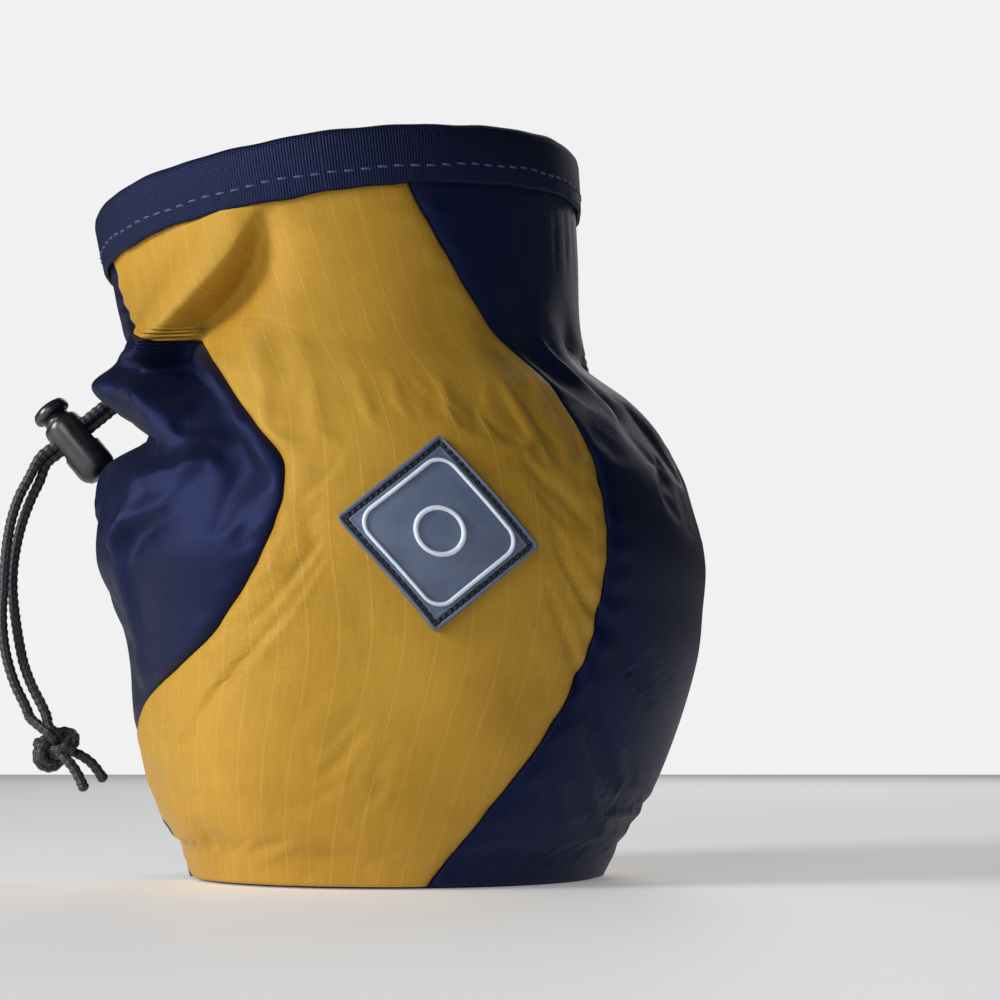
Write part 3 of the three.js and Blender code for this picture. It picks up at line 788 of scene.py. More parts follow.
def refined(values, axis, wrap):
    """Twice as many samples along an axis, on a smooth curve through the old ones."""
    values = np.moveaxis(values, axis, 0)
    if wrap:
        before, after, last = np.roll(values, 1, 0), np.roll(values, -1, 0), np.roll(values, -2, 0)
    else:
        padded = np.concatenate([2 * values[:1] - values[1:2], values, 2 * values[-1:] - values[-2:-1]])
        before, after = padded[:-2], padded[2:]
        last = np.concatenate([padded[3:], 2 * padded[-1:] - padded[-2:-1]])
    middle = (9 * (values + after) - before - last) / 16
    woven = np.stack([values, middle], axis=1).reshape(-1, *values.shape[1:])
    return np.moveaxis(woven if wrap else woven[:-1], 0, axis)


NEARBY = 6  # grid steps around a point that its neighbours inside the cloth stay clear of


class Shell:
    """The finished cloth surface as a grid of points, columns along the seams and rows by height."""

    def __init__(self):
        points = self.coarse_points()
        for _ in range(FINE - 1):
            points = refined(refined(points, 0, True), 1, False)
        self.columns = {name: count * FINE for name, count in COLUMNS.items()}
        self.heights = np.linspace(PANEL_BOTTOM, PANEL_TOP, points.shape[1])
        self.angles = self.refined_angles(self.heights)
        self.points = self.creased(points)
        middle = np.stack([centre_at(self.heights), 0 * self.heights], axis=-1)
        outwards = self.points[:, :, :2] - middle[None]
        self.reach = np.linalg.norm(outwards, axis=-1)
        self.outwards = np.zeros_like(self.points)
        self.outwards[:, :, :2] = outwards / self.reach[..., None]
        self.inner = self.inner_rise()

    @staticmethod
    def coarse_points():
        """The bag with its soft folds, settled by the cloth simulation."""
        heights = np.linspace(PANEL_BOTTOM, PANEL_TOP, SHELL_ROWS)
        angles = panel_angles(heights)
        tall = heights[None, :] + 0 * angles
        points = bag_points(angles, tall, fold_rise(angles, heights[None, :]))
        return settle(points, pin_weights(angles, tall), slack_weights(angles, tall))

    def creased(self, points):
        """The sharp folds laid over the settled cloth, and room made for the lock."""
        turn = np.radians(self.angles)
        out = np.stack([np.sin(turn), -np.cos(turn), 0 * turn], axis=-1)
        turning = np.stack([np.cos(turn), np.sin(turn), 0 * turn], axis=-1)
        rise, sideways, upwards = crease_shift(self.angles, self.heights[None])
        points = points + out * rise[..., None] + turning * sideways[..., None]
        points[..., 2] += upwards
        return clear_of_lock(points)

    def inner_rise(self):
        """How far the innermost cloth nearby stands out of the smooth bag, or in if negative."""
        rise = self.reach - radius_at(self.heights)[None]
        for _ in range(NEARBY):
            rise = np.minimum(rise, np.minimum(np.roll(rise, 1, 0), np.roll(rise, -1, 0)))
            rise[:, 1:-1] = np.minimum(rise[:, 1:-1], np.minimum(rise[:, :-2], rise[:, 2:]))
        for _ in range(NEARBY):
            rise = (rise + np.roll(rise, 1, 0) + np.roll(rise, -1, 0)) / 3
            rise[:, 1:-1] = (rise[:, 1:-1] + rise[:, :-2] + rise[:, 2:]) / 3
        return np.minimum(rise, 0)

    def refined_angles(self, heights):
        coarse = panel_angles(heights)
        closing = np.concatenate([coarse, coarse[:1] + FULL_TURN])
        steps = closing[1:] - closing[:-1]
        blocks = [closing[:-1] + steps * share / FINE for share in range(FINE)]
        return np.stack(blocks, axis=1).reshape(-1, len(heights))

    def row_of(self, height):
        """Where a height falls among the rows, as a fraction."""
        return (height - self.heights[0]) / (self.heights[1] - self.heights[0])

    def inner_at(self, angle, height, offset):
        """A point inside the folds of the cloth, offset from the innermost cloth near it."""
        row = int(np.clip(round(self.row_of(height)), 0, len(self.heights) - 1))
        first = self.angles[0, row]
        turn = (angle - first) % FULL_TURN + first
        column = np.interp(turn, self.angles[:, row], np.arange(len(self.angles)))
        rise = self.inner[int(column) % len(self.angles), row]
        return bag_points(np.float64(angle), np.float64(height), offset + rise)

    def at(self, angle, height, offset=0.0):
        """The point of the folded cloth at an angle and height, moved outwards by offset."""
        row = float(np.clip(self.row_of(height), 0, len(self.heights) - 1.001))
        share = row - int(row)
        low, high = (self.on_row(angle, int(row) + step, offset) for step in (0, 1))
        return (1 - share) * low + share * high

    def on_row(self, angle, row, offset):
        first = self.angles[0, row]
        turns = np.append(self.angles[:, row], first + FULL_TURN)
        column = np.interp((angle - first) % FULL_TURN + first, turns, np.arange(len(turns)))
        here = min(int(column), len(turns) - 2)
        after = (here + 1) % len(self.angles)
        share = column - here
        near = self.points[here, row] + offset * self.outwards[here, row]
        far = self.points[after, row] + offset * self.outwards[after, row]
        return (1 - share) * near + share * far


TUCK_DEPTH = 1.5 * MM
TUCK_WIDTH = 1.5 * MM
PUCKER = 0.2 * MM
PUCKER_PERIOD = 7.5 * MM
OTHER_SEAM_PHASE = 2.1
SEAM_GAP_SHARE = 0.06
GRAIN_TURN = 0.35
# Each panel: its name, its cloth and the flat rectangle that it is cut from.
PANELS = [
    ("front", "yellow", (0.115, 0.172)),
    ("right", "navy", (0.165, 0.172)),
    ("back", "yellow", (0.115, 0.172)),
    ("left", "navy", (0.155, 0.168)),
]


def tuck(distance, height, phase):
    """How far the cloth dips towards a seam, with the small puckers that the stitches pull into it."""
    dip = TUCK_DEPTH * np.exp(-distance / TUCK_WIDTH)
    wave = np.sin(2 * np.pi * height / PUCKER_PERIOD + phase + 2 * np.sin(height * 90))
    reach = np.exp(-((distance - 3 * MM) / (3.5 * MM)) ** 2)
    return -dip + PUCKER * wave * reach


def panel(shell, name, material):
    """One cloth panel between two seams, cut from the shell, with its thickness and its edges turned in."""
    names = list(shell.columns)
    start = sum(shell.columns[other] for other in names[:names.index(name)])
    index = (start + np.arange(shell.columns[name] + 1)) % len(shell.points)
    angles = np.unwrap(shell.angles[index], axis=0, period=FULL_TURN)
    heights = shell.heights[None, :]
    reach = np.radians(angles - angles[:1]) * radius_at(heights)
    other_reach = np.radians(angles[-1:] - angles) * radius_at(heights)
    phase = np.where(reach < other_reach, 0.0, OTHER_SEAM_PHASE)
    calm = 1 - smoothstep(heights, 140 * MM, 150 * MM)
    rise = tuck(np.minimum(reach, other_reach), heights, phase) * calm
    outside = shell.points[index] + shell.outwards[index] * rise[..., None]
    inside = outside - shell.outwards[index] * CLOTH
    outside, inside = pull_apart(outside), pull_apart(inside)
    columns, rows = outside.shape[:2]
    faces = grid_faces(columns, rows)
    faces += [face[::-1] for face in grid_faces(columns, rows, base=columns * rows)]
    faces += edge_faces(columns, rows)
    uv = panel_uv(name, angles, heights)
    points = np.concatenate([outside.reshape(-1, 3), inside.reshape(-1, 3)])
    uvs = corner_uvs(faces, np.concatenate([uv, uv]))
    made = mesh_object(f"{name}_panel_cloth", points, faces, material, uvs)
    return made


def panel_uv(name, angles, heights):
    """The panel's flat pattern, its grain turned with the right seam, in metres."""
    grain = GRAIN_TURN * right_seam_at(heights)
    middle = (angles[0] + angles[-1]) / 2 if name in ("right", "left") else HALF_TURN * (name == "back")
    across = np.radians(angles - middle - grain) * REFERENCE_RADIUS + 0 * heights
    return np.stack([across, heights + 0 * across], axis=-1).reshape(-1, 2)


def pull_apart(points):
    """Leaves a hair's breadth between two panels at their seam."""
    moved = points.copy()
    moved[0] += (points[1] - points[0]) * SEAM_GAP_SHARE
    moved[-1] += (points[-2] - points[-1]) * SEAM_GAP_SHARE
    return moved


def edge_faces(columns, rows):
    side = columns * rows
    faces = []
    for j in range(rows - 1):
        faces.append((j, j + 1, side + j + 1, side + j))
        end = (columns - 1) * rows + j
        faces.append((end + 1, end, side + end, side + end + 1))
    for i in range(columns - 1):
        low, high = i * rows, i * rows + rows - 1
        faces.append((side + low, side + low + rows, low + rows, low))
        faces.append((high, high + rows, side + high + rows, side + high))
    return faces


def make_panels(shell, materials):
    for name, cloth, flat in PANELS:
        made = panel(shell, name, materials[cloth])
        place_piece(made, f"{name}_panel")


# ---- Cords, knot and lock ----

CORD_GAP = 1.05
CORD_STAGGER = 0.82
STRAIGHT = (-11.3, -5, 0, 4.6, 8.2)
FRONT_ROUTE = [
    (-84.6, -1.1, 89.6), (-86.6, -1.2, 85.6), (-88.2, -1.3, 80.5), (-89.1, -1.4, 75), (-89.5, -1.5, 69.5),
    (-89.7, -1.5, 64), (-89.9, -1.4, 58.5), (-89.4, -1.2, 52.5), (-88.3, -0.9, 47.3), (-86.6, -0.6, 42.4),
    (-84.4, -0.4, 38), (-83.2, -0.3, 35.1),
]
BACK_ROUTE = [
    (-82.6, 1.3, 89.2), (-84.6, 1.6, 85), (-86.4, 1.8, 80), (-87.6, 1.9, 75), (-88.3, 1.9, 69.5),
    (-88.3, 1.8, 64), (-87.6, 1.6, 58.5), (-86.5, 1.4, 52.5), (-85.2, 1.1, 47.3), (-83.2, 0.8, 42.4),
    (-80.8, 0.5, 38), (-79.6, 0.4, 35.5),
]
CORD_STEP = 0.2
CORD_SIDES = 32
BRAID_PITCH = 1.7
BRAID_STRANDS = 4
BRAID_RELIEF = 0.26
MELTED_SWELL = 1.04
KNOT = (-78.1, 0, 29.1)
KNOT_SIZE = 1.5
KNOT_SPAN = (math.pi + 0.45, 3 * math.pi - 0.45)
KNOT_STEPS = 44
KNOT_SLANT = 0.7071
KNOT_PARTING = 0.42
KNOT_DEPTH = 1.2
FRONT_TAIL = [(-75.2, -1.8, 26.6), (-72.4, -2.1, 23.4), (-70, -2.2, 18.8)]
BACK_TAIL = [(-73.8, 1.4, 27.6), (-69.6, 1.4, 25.2), (-66.2, 1.2, 20.9)]


def smooth_path(points, step):
    """Points every step along a centripetal Catmull-Rom curve through the given ones."""
    points = np.asarray(points, float)
    padded = np.vstack([2 * points[0] - points[1], points, 2 * points[-1] - points[-2]])
    made = []
    for p0, p1, p2, p3 in zip(padded, padded[1:], padded[2:], padded[3:]):
        t0 = 0.0
        t1 = t0 + math.sqrt(np.linalg.norm(p1 - p0))
        t2 = t1 + math.sqrt(np.linalg.norm(p2 - p1))
        t3 = t2 + math.sqrt(np.linalg.norm(p3 - p2))
        t = np.linspace(t1, t2, 12, endpoint=False)[:, None]
        a1 = ((t1 - t) * p0 + (t - t0) * p1) / (t1 - t0)
        a2 = ((t2 - t) * p1 + (t - t1) * p2) / (t2 - t1)
        a3 = ((t3 - t) * p2 + (t - t2) * p3) / (t3 - t2)
        b1 = ((t2 - t) * a1 + (t - t0) * a2) / (t2 - t0)
        b2 = ((t3 - t) * a2 + (t - t1) * a3) / (t3 - t1)
        made.append(((t2 - t) * b1 + (t - t1) * b2) / (t2 - t1))
    made = np.vstack([*made, points[-1:]])
    length = path_length(made)
    even = np.linspace(0, length[-1], max(2, round(length[-1] / step)))
    return np.stack([np.interp(even, length, made[:, k]) for k in range(3)], axis=1)


def frames_along(path):
    """Two directions across the path at each of its points, turning as little as they can."""
    tangents = np.gradient(path, axis=0)
    tangents /= np.linalg.norm(tangents, axis=1, keepdims=True)
    side = np.cross(tangents[0], (0.3, 1, 0.2))
    sides = []
    for tangent in tangents:
        side = side - tangent * np.dot(side, tangent)
        side = side / np.linalg.norm(side)
        sides.append(side)
    sides = np.array(sides)
    return sides, np.cross(tangents, sides)


def braided_rings(path, radius, melted_end=False):
    """Rings round a path in millimetres, with the yarns of a braid standing out in a diamond pattern."""
    first, second = frames_along(path)
    along = path_length(path)[:, None]
    turn = (np.arange(CORD_SIDES) / CORD_SIDES * 2 * np.pi)[None]
    wind = 2 * np.pi * along / (BRAID_PITCH * 2)
    yarns = np.cos(BRAID_STRANDS * turn + wind) * np.cos(BRAID_STRANDS * turn - wind)
    reach = radius * (1 - BRAID_RELIEF / 2 + BRAID_RELIEF / 2 * yarns)
    if melted_end:
        left = along[-1] - along
        share = 1 - np.minimum(left, radius) / radius
        bead = MELTED_SWELL * radius * np.sqrt(np.clip(1 - share**2, 0.02, 1))
        reach = np.where(left < radius, bead, reach)
    out = np.cos(turn)[..., None] * first[:, None] + np.sin(turn)[..., None] * second[:, None]
    return path[:, None] + reach[..., None] * out


def tube(name, paths, radius, material, melted_end=False):
    """One object of braided tubes, one along each path in millimetres, with closed ends."""
    points, faces, uvs = [], [], []
    for path in paths:
        rings = braided_rings(path, radius, melted_end)
        base = sum(len(p) for p in points)
        count = len(rings)
        points.append(rings.reshape(-1, 3))
        along = path_length(path)
        round_step = 2 * math.pi * radius / CORD_SIDES
        for i in range(count - 1):
            here, there = base + i * CORD_SIDES, base + (i + 1) * CORD_SIDES
            for j in range(CORD_SIDES):
                k = (j + 1) % CORD_SIDES
                faces.append((here + j, here + k, there + k, there + j))
                low, high = j * round_step, (j + 1) * round_step
                uvs += [(along[i], low), (along[i], high), (along[i + 1], high), (along[i + 1], low)]
        faces.append(tuple(base + j for j in range(CORD_SIDES))[::-1])
        faces.append(tuple(base + (count - 1) * CORD_SIDES + j for j in range(CORD_SIDES)))
        uvs += [(0, 0)] * CORD_SIDES * 2
    return mesh_object(name, np.vstack(points) * MM, faces, material, np.array(uvs) * MM)


def strand_path(side, route):
    start = np.array(LOCK) + np.array((0, side * CORD_GAP, 0)) - np.array(LOCK_AXIS) * side * CORD_STAGGER
    straight = [start + np.array(CORD_WAY) * distance for distance in STRAIGHT]
    return smooth_path([*straight, *route], CORD_STEP)


def knot_path(side, strand, tail):
    """An overhand knot from the end of a strand to its tail. side parts the strands of the doubled cord."""
    down = np.array((KNOT_SLANT, 0, -KNOT_SLANT))
    across = np.array((KNOT_SLANT, 0, KNOT_SLANT))
    towards_back = np.array((0, 1.0, 0))
    loops = []
    for t in np.linspace(*KNOT_SPAN, KNOT_STEPS):
        x = -(math.sin(t) + 2 * math.sin(2 * t))
        y = -(math.cos(t) - 2 * math.cos(2 * t))
        reach = math.hypot(x, y) or 1.0
        x, y = x + side * KNOT_PARTING * x / reach, y + side * KNOT_PARTING * y / reach
        depth = -math.sin(3 * t) * KNOT_DEPTH + side * 0.25
        loops.append(np.array(KNOT) + KNOT_SIZE * (x * across - y * down + depth * towards_back))
    if np.linalg.norm(loops[0] - strand[-1]) > np.linalg.norm(loops[-1] - strand[-1]):
        loops = loops[::-1]
    return smooth_path([*strand[-6:-1:4], *loops[1:-1], *tail], CORD_STEP)


def make_cords(materials):
    front, back = strand_path(-1, FRONT_ROUTE), strand_path(1, BACK_ROUTE)
    knot_paths = [knot_path(-1, front, FRONT_TAIL), knot_path(1, back, BACK_TAIL)]
    knot = tube("overhand_knot", knot_paths, CORD_RADIUS / MM, materials["cord"], melted_end=True)
    place_piece(knot, "cord_knot")
    for name, path, node in (("front", front, "cord_strand_front"), ("back", back, "cord_strand_back")):
        strand = tube(f"{name}_cord", [path], CORD_RADIUS / MM, materials["cord"])
        place_piece(strand, node)


# Radius and height along the lock's axis, in millimetres, from the foot up.
BARREL_PROFILE = [
    (0, -11.4), (2.4, -11.4), (3.2, -11.2), (4.1, -10.2), (4.5, -9.3), (4.62, -8.2), (4.62, -4),
    (4.62, 0), (4.6, 2.6), (4.45, 3.5), (4.2, 4.2), (3.95, 4.5), (3.65, 4.45), (3.55, 4.2), (3.55, 0),
    (3.55, -9.9), (0, -9.9),
]
BUTTON_PROFILE = [
    (0, -3.75), (3.0, -3.75), (3.3, -3.5), (3.3, 0), (3.3, 4.9), (3.15, 5.5), (2.9, 6.0), (3.3, 6.25),
    (4.0, 6.45), (4.33, 6.9), (4.38, 7.5), (4.2, 8.2), (3.75, 8.8), (2.9, 9.15), (1.5, 9.28), (0, 9.3),
]
LATHE_SIDES = 96
SPRING_RADIUS = 2.5
SPRING_WIRE = 0.26 * MM
SPRING_TURNS = 4
SPRING_STEPS = 160
SPRING_LOW = -9.45
SPRING_HIGH = -4.1
SLOT_HALF = 2.55
BARREL_SLOT = (-3.95, 2.3)
BUTTON_SLOT = (-2.35, 3.9)
SLOT_ROUND = 1.0
SLOT_REACH = 9
SLOT_EDGE = 0.14


def lathe(name, profile, material):
    """A body of revolution in the lock's own frame, in millimetres, its axis up."""
    points, faces = [], []
    for radius, height in profile:
        if radius == 0:
            points.append((0, 0, height))
            continue
        for k in range(LATHE_SIDES):
            turn = 2 * math.pi * k / LATHE_SIDES
            points.append((radius * math.cos(turn), radius * math.sin(turn), height))
    rings = len(profile) - 2
    top = 1 + rings * LATHE_SIDES
    for k in range(LATHE_SIDES):
        after = (k + 1) % LATHE_SIDES
        faces.append((0, 1 + after, 1 + k))
        for ring in range(rings - 1):
            low, high = 1 + ring * LATHE_SIDES, 1 + (ring + 1) * LATHE_SIDES
            faces.append((low + k, low + after, high + after, high + k))
        last = 1 + (rings - 1) * LATHE_SIDES
        faces.append((last + k, last + after, top))
    return mesh_object(name, np.array(points), faces, material)


def slot_cutter(low, high):
    """A rounded bar right through the lock, the shape of the opening for the two strands."""
    corners = []
    for x, z, start in ((1, 1, 0), (-1, 1, 90), (-1, -1, 180), (1, -1, 270)):
        middle = (low + high) / 2 + z * ((high - low) / 2 - SLOT_ROUND)
        for step in range(6):
            turn = math.radians(start + step * 18)
            across = x * (SLOT_HALF - SLOT_ROUND) + SLOT_ROUND * math.cos(turn)
            corners.append((across, middle + SLOT_ROUND * math.sin(turn)))
    count = len(corners)
    points = [(reach, y, z) for reach in (-SLOT_REACH, SLOT_REACH) for y, z in corners]
    faces = [(k, (k + 1) % count, count + (k + 1) % count, count + k) for k in range(count)]
    faces += [tuple(range(count))[::-1], tuple(range(count, 2 * count))]
    mesh = bpy.data.meshes.new("slot_cutter")
    mesh.from_pydata(points, [], faces)
    cutter = bpy.data.objects.new("slot_cutter", mesh)
    bpy.context.scene.collection.objects.link(cutter)
    return cutter


def lock_frame(points):
    """Points of the lock's own frame where the lock lies, both in millimetres."""
    axis = np.array(LOCK_AXIS)
    along_cord = -np.array(CORD_WAY)
    sideways = np.cross(axis, along_cord)
    return np.array(LOCK) + points @ np.array([along_cord, sideways, axis])


def lock_piece(name, profile, slot, node, body, material):
    piece = lathe(name, profile, material)
    cutter = slot_cutter(*slot)
    cut = piece.modifiers.new("slot", "BOOLEAN")
    cut.operation = "DIFFERENCE"
    cut.solver = "EXACT"
    cut.object = cutter
    edge = piece.modifiers.new("edge", "BEVEL")
    edge.limit_method = "ANGLE"
    edge.angle_limit = math.radians(50)
    edge.width = SLOT_EDGE
    edge.segments = 2
    evaluated = piece.evaluated_get(bpy.context.evaluated_depsgraph_get())
    mesh = bpy.data.meshes.new_from_object(evaluated)
    piece.modifiers.clear()
    piece.data = mesh
    bpy.data.objects.remove(cutter)
    for vertex in mesh.vertices:
        vertex.co = lock_frame(np.array(vertex.co)) * MM
    mesh.update()
    mesh.set_sharp_from_angle(angle=math.radians(40))
    place_piece(piece, node, body)


def make_lock(materials):
    plastic = materials["lock"]
    lock_piece("lock_barrel_moulding", BARREL_PROFILE, BARREL_SLOT, "lock_barrel", "cord_lock", plastic)
    lock_piece("lock_button_moulding", BUTTON_PROFILE, BUTTON_SLOT, "lock_button", "lock_plunger", plastic)
    make_spring(materials)


def make_spring(materials):
    """The coil spring under the button."""
    path = []
    for k in range(SPRING_STEPS + 1):
        share = k / SPRING_STEPS
        turn = 2 * math.pi * SPRING_TURNS * share
        height = SPRING_LOW + (SPRING_HIGH - SPRING_LOW) * smoothstep(share, -0.1, 1.1)
        path.append((SPRING_RADIUS * math.cos(turn), SPRING_RADIUS * math.sin(turn), height))
    coil = lock_frame(np.array(path)) * MM
    spring = tubes_object("lock_coil_spring", [coil], SPRING_WIRE, materials["steel"])
    place_piece(spring, "lock_spring", "cord_lock")
    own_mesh(spring)


# ---- Rim: hoop, bound tape and its topstitching ----

# The tape's section, outwards from the bag's surface and up from the rim, in millimetres.
BINDING_SECTION = [
    (0.35, -11.9), (1.15, -12), (1.3, -11.4), (1.4, -6), (1.4, -1.5), (1.15, -0.3), (0.6, 0.4),
    (-0.5, 0.85), (-2.2, 1), (-4, 0.8), (-5, 0.4), (-5.6, -0.4), (-5.8, -1.6), (-5.8, -6), (-5.8, -11.4),
    (-5.6, -12), (-4.9, -11.9), (-4.8, -6), (-4.7, -1.6), (-4.2, -0.6), (-2.2, -0.3), (-0.3, -0.6),
    (0.2, -1.6), (0.3, -6),
]
RIM_ROUND = 2 * math.pi * 55
RIM_SEGMENTS = 720
STITCH_PITCH = 3.5
STITCH_LENGTH = 2.3
STITCH_DROP = 8.2 * MM
STITCH_PULL = 0.12


def rim_point(angle, drop, offset):
    return bag_points(np.float64(angle), np.float64(RIM_TOP) - drop, offset)


def rim_wave(angle):
    """Slow unevenness of the tape's edges, in millimetres."""
    turn = np.radians(angle)
    return 0.25 * np.sin(7 * turn + 1) + 0.18 * np.sin(17 * turn + 2) + 0.12 * np.sin(31 * turn)


def binding_ring(angle, pull):
    """The tape's section at one angle, pulled in under its stitches and with its lower edge wavering."""
    ring = []
    for offset, height in BINDING_SECTION:
        low = smoothstep(-height, 6, 12)
        if offset > 0:
            near_stitch = math.exp(-((height * MM + STITCH_DROP) / (1.2 * MM)) ** 2)
            offset += -pull * near_stitch + 0.3 * low * rim_wave(angle * 2)
        waver = 0.5 * rim_wave(angle) * (1 - low) + 0.7 * rim_wave(angle + 40) * low
        ring.append(rim_point(angle, (-height - waver) * MM, offset * MM))
    return ring


def make_binding(materials):
    stitches = round(RIM_ROUND / STITCH_PITCH)
    rings = []
    for k in range(RIM_SEGMENTS):
        angle = FULL_TURN * k / RIM_SEGMENTS
        pull = STITCH_PULL * (0.5 + 0.5 * math.cos(math.radians(angle) * stitches))
        rings.append(binding_ring(angle, pull))
    along = [RIM_ROUND * MM / RIM_SEGMENTS * k for k in range(RIM_SEGMENTS)]
    tape = ring_object("bound_tape", rings, materials["tape"], along=along)
    place_piece(tape, "rim_binding")
    threads = [thread_over(lambda t, s=s: rim_stitch(s, stitches, t)) for s in range(stitches)]
    thread = tubes_object("rim_topstitch", threads, 0.28 * MM, materials["blue_thread"])
    place_piece(thread)
    nodes["rim_hoop"].data.materials.clear()
    nodes["rim_hoop"].data.materials.append(materials["hoop"])


def rim_stitch(number, stitches, share):
    """A point on one stitch, its ends sunk in the tape. share runs from 0 to 1 along it."""
    middle = FULL_TURN * (number + 0.5) / stitches
    half = FULL_TURN / stitches * STITCH_LENGTH / STITCH_PITCH / 2
    sunk = 0.45 * (2 * share - 1) ** 4
    wander = 0.15 * math.sin(number * 1.3) + 0.1 * math.sin(number * 0.37)
    drop = STITCH_DROP + (wander + 0.15 * (share - 0.5)) * MM
    return rim_point(middle + half * (2 * share - 1), drop, (1.42 - STITCH_PULL / 2 - sunk) * MM)


def thread_over(point_at, steps=7):
    return np.array([point_at(k / (steps - 1)) for k in range(steps)])


def tubes_object(name, paths, radius, material, sides=8):
    """One object of plain round threads along short paths in metres, all with as many points."""
    points, faces = [], []
    turn = np.arange(sides) / sides * 2 * np.pi
    for path in paths:
        first, second = (way[:, None] for way in frames_along(path))
        out = np.cos(turn)[None, :, None] * first + np.sin(turn)[None, :, None] * second
        rings = path[:, None] + radius * out
        base = len(points) * len(path) * sides
        points.append(rings.reshape(-1, 3))
        for i in range(len(path) - 1):
            here, there = base + i * sides, base + (i + 1) * sides
            for j in range(sides):
                k = (j + 1) % sides
                faces.append((here + j, here + k, there + k, there + j))
        faces.append(tuple(base + j for j in range(sides))[::-1])
        faces.append(tuple(base + (len(path) - 1) * sides + j for j in range(sides)))
    return mesh_object(name, np.vstack(points), faces, material)


# ---- Inside: fleece lining, drawcord casing and the cord round the waist ----

LINING_COLUMNS = 240
LINING_ROWS = 90
LINING_FROM = 3.2 * MM
LINING_OUT = -2.9 * MM
FLEECE = 1.6 * MM
LINING_BUMP = 4.2 * MM
LINING_BUMP_REACH = 10 * MM
CASING_SECTION = [
    (-1.0, -7), (-1.0, 0), (-1.0, 7), (-1.5, 7), (-2.0, 3.5), (-4.5, 2.2), (-4.9, 0), (-4.5, -2.2),
    (-2.0, -3.5), (-1.5, -7),
]
CASING_FOOT = -1.5  # the casing stands away from the panels past this offset
WAIST_STEPS = 420


def lining_offset(height):
    near = min(abs(height - WAIST) / LINING_BUMP_REACH, 1)
    return LINING_OUT - LINING_BUMP * math.cos(math.pi / 2 * near) ** 2


def make_lining(shell, materials):
    rng = np.random.default_rng(SEED)
    heights = np.linspace(LINING_FROM, PANEL_TOP, LINING_ROWS)
    outside, inside = [], []
    for k in range(LINING_COLUMNS):
        angle = FULL_TURN * k / LINING_COLUMNS
        tufts = rng.normal(0, 0.12 * MM, LINING_ROWS)
        for height, tuft in zip(heights, tufts):
            offset = lining_offset(height) - 0.3 * MM
            outside.append(shell.inner_at(angle, height, offset))
            inside.append(shell.inner_at(angle, height, offset - FLEECE + tuft))
    size = LINING_COLUMNS * LINING_ROWS
    faces = grid_faces(LINING_COLUMNS, LINING_ROWS, wrap=True)
    faces += [face[::-1] for face in grid_faces(LINING_COLUMNS, LINING_ROWS, wrap=True, base=size)]
    for k in range(LINING_COLUMNS):
        here, there = k * LINING_ROWS, (k + 1) % LINING_COLUMNS * LINING_ROWS
        end = LINING_ROWS - 1
        faces.append((here, size + here, size + there, there))
        faces.append((there + end, size + there + end, size + here + end, here + end))
    wall = mesh_object("fleece_wall", np.array(outside + inside), faces, materials["fleece"])
    place_piece(wall, "lining_wall")


def make_casing(shell, materials):
    """The channel for the cord, sewn inside the panels at the waist, and the cord that runs round in it."""
    rings = []
    path = []
    for k in range(WAIST_STEPS):
        angle = FULL_TURN * k / WAIST_STEPS
        gather = 0.25 * math.sin(math.radians(angle) * GATHER_COUNT * 2)
        ring = []
        for offset, height in CASING_SECTION:
            bulge = gather if offset < CASING_FOOT else 0
            ring.append(shell.inner_at(angle, WAIST + height * MM, (offset + bulge) * MM))
        rings.append(ring)
        path.append(shell.inner_at(angle, WAIST, WAIST_CORD_OFFSET))
    casing = ring_object("waist_channel", rings, materials["navy"])
    place_piece(casing, "drawcord_casing")
    cord = tube("waist_cord", [np.array(path + path[:1]) / MM], CORD_RADIUS / MM, materials["cord"])
    place_piece(cord, "drawcord_waist_loop")


def disc(name, radius, low, high, relief, material, node):
    """A round cloth floor with a crowned, uneven face, and UVs in metres."""
    rings, sides = 28, 144
    points, uvs = [], []
    for face, level in enumerate((high, low)):
        for r in range(rings + 1):
            for k in range(sides):
                turn = 2 * math.pi * k / sides
                reach = radius * r / rings
                x, y = reach * math.sin(turn), -reach * math.cos(turn)
                wave = math.sin(x * 160 + 1) * math.cos(y * 140) * (1 - (r / rings) ** 4)
                points.append((x, y, level + relief * wave * (face == 0)))
                uvs.append((x, y))
    size = (rings + 1) * sides
    faces = []
    for r in range(rings):
        for k in range(sides):
            after = (k + 1) % sides
            a, b, c, d = r * sides + k, r * sides + after, (r + 1) * sides + after, (r + 1) * sides + k
            faces.append((a, d, c, b))
            faces.append((size + a, size + b, size + c, size + d))
    for k in range(sides):
        a, b = rings * sides + k, rings * sides + (k + 1) % sides
        faces.append((a, size + a, size + b, b))
    made = mesh_object(name, np.array(points), faces, material, corner_uvs(faces, uvs))
    place_piece(made, node)


def make_base(materials):
    disc("base_cloth", 44.8 * MM, 0, 0.8 * MM, 0.0, materials["navy"], "base_panel")
    disc("fleece_floor", 40 * MM, 1.1 * MM, 2.9 * MM, 0.25 * MM, materials["fleece"], "lining_base")


# ---- Rubber patch ----

PATCH_TURN = math.radians(37.2)
PATCH_HALF = 14.2
PATCH_STEPS = 150
LINE_HALF = 11.3
LINE_CORNER = 3.8
RING_RADIUS = 4.6
PATCH_STITCH = 1.55
PATCH_GROOVE = 1.35
PLATE_FOOT = 0.15


def rounded_square(x, y, half, corner):
    """Signed distance in millimetres to a rounded square, negative inside."""
    across, up = np.abs(x) - half + corner, np.abs(y) - half + corner
    outside = np.hypot(np.maximum(across, 0), np.maximum(up, 0))
    return outside + np.minimum(np.maximum(across, up), 0) - corner


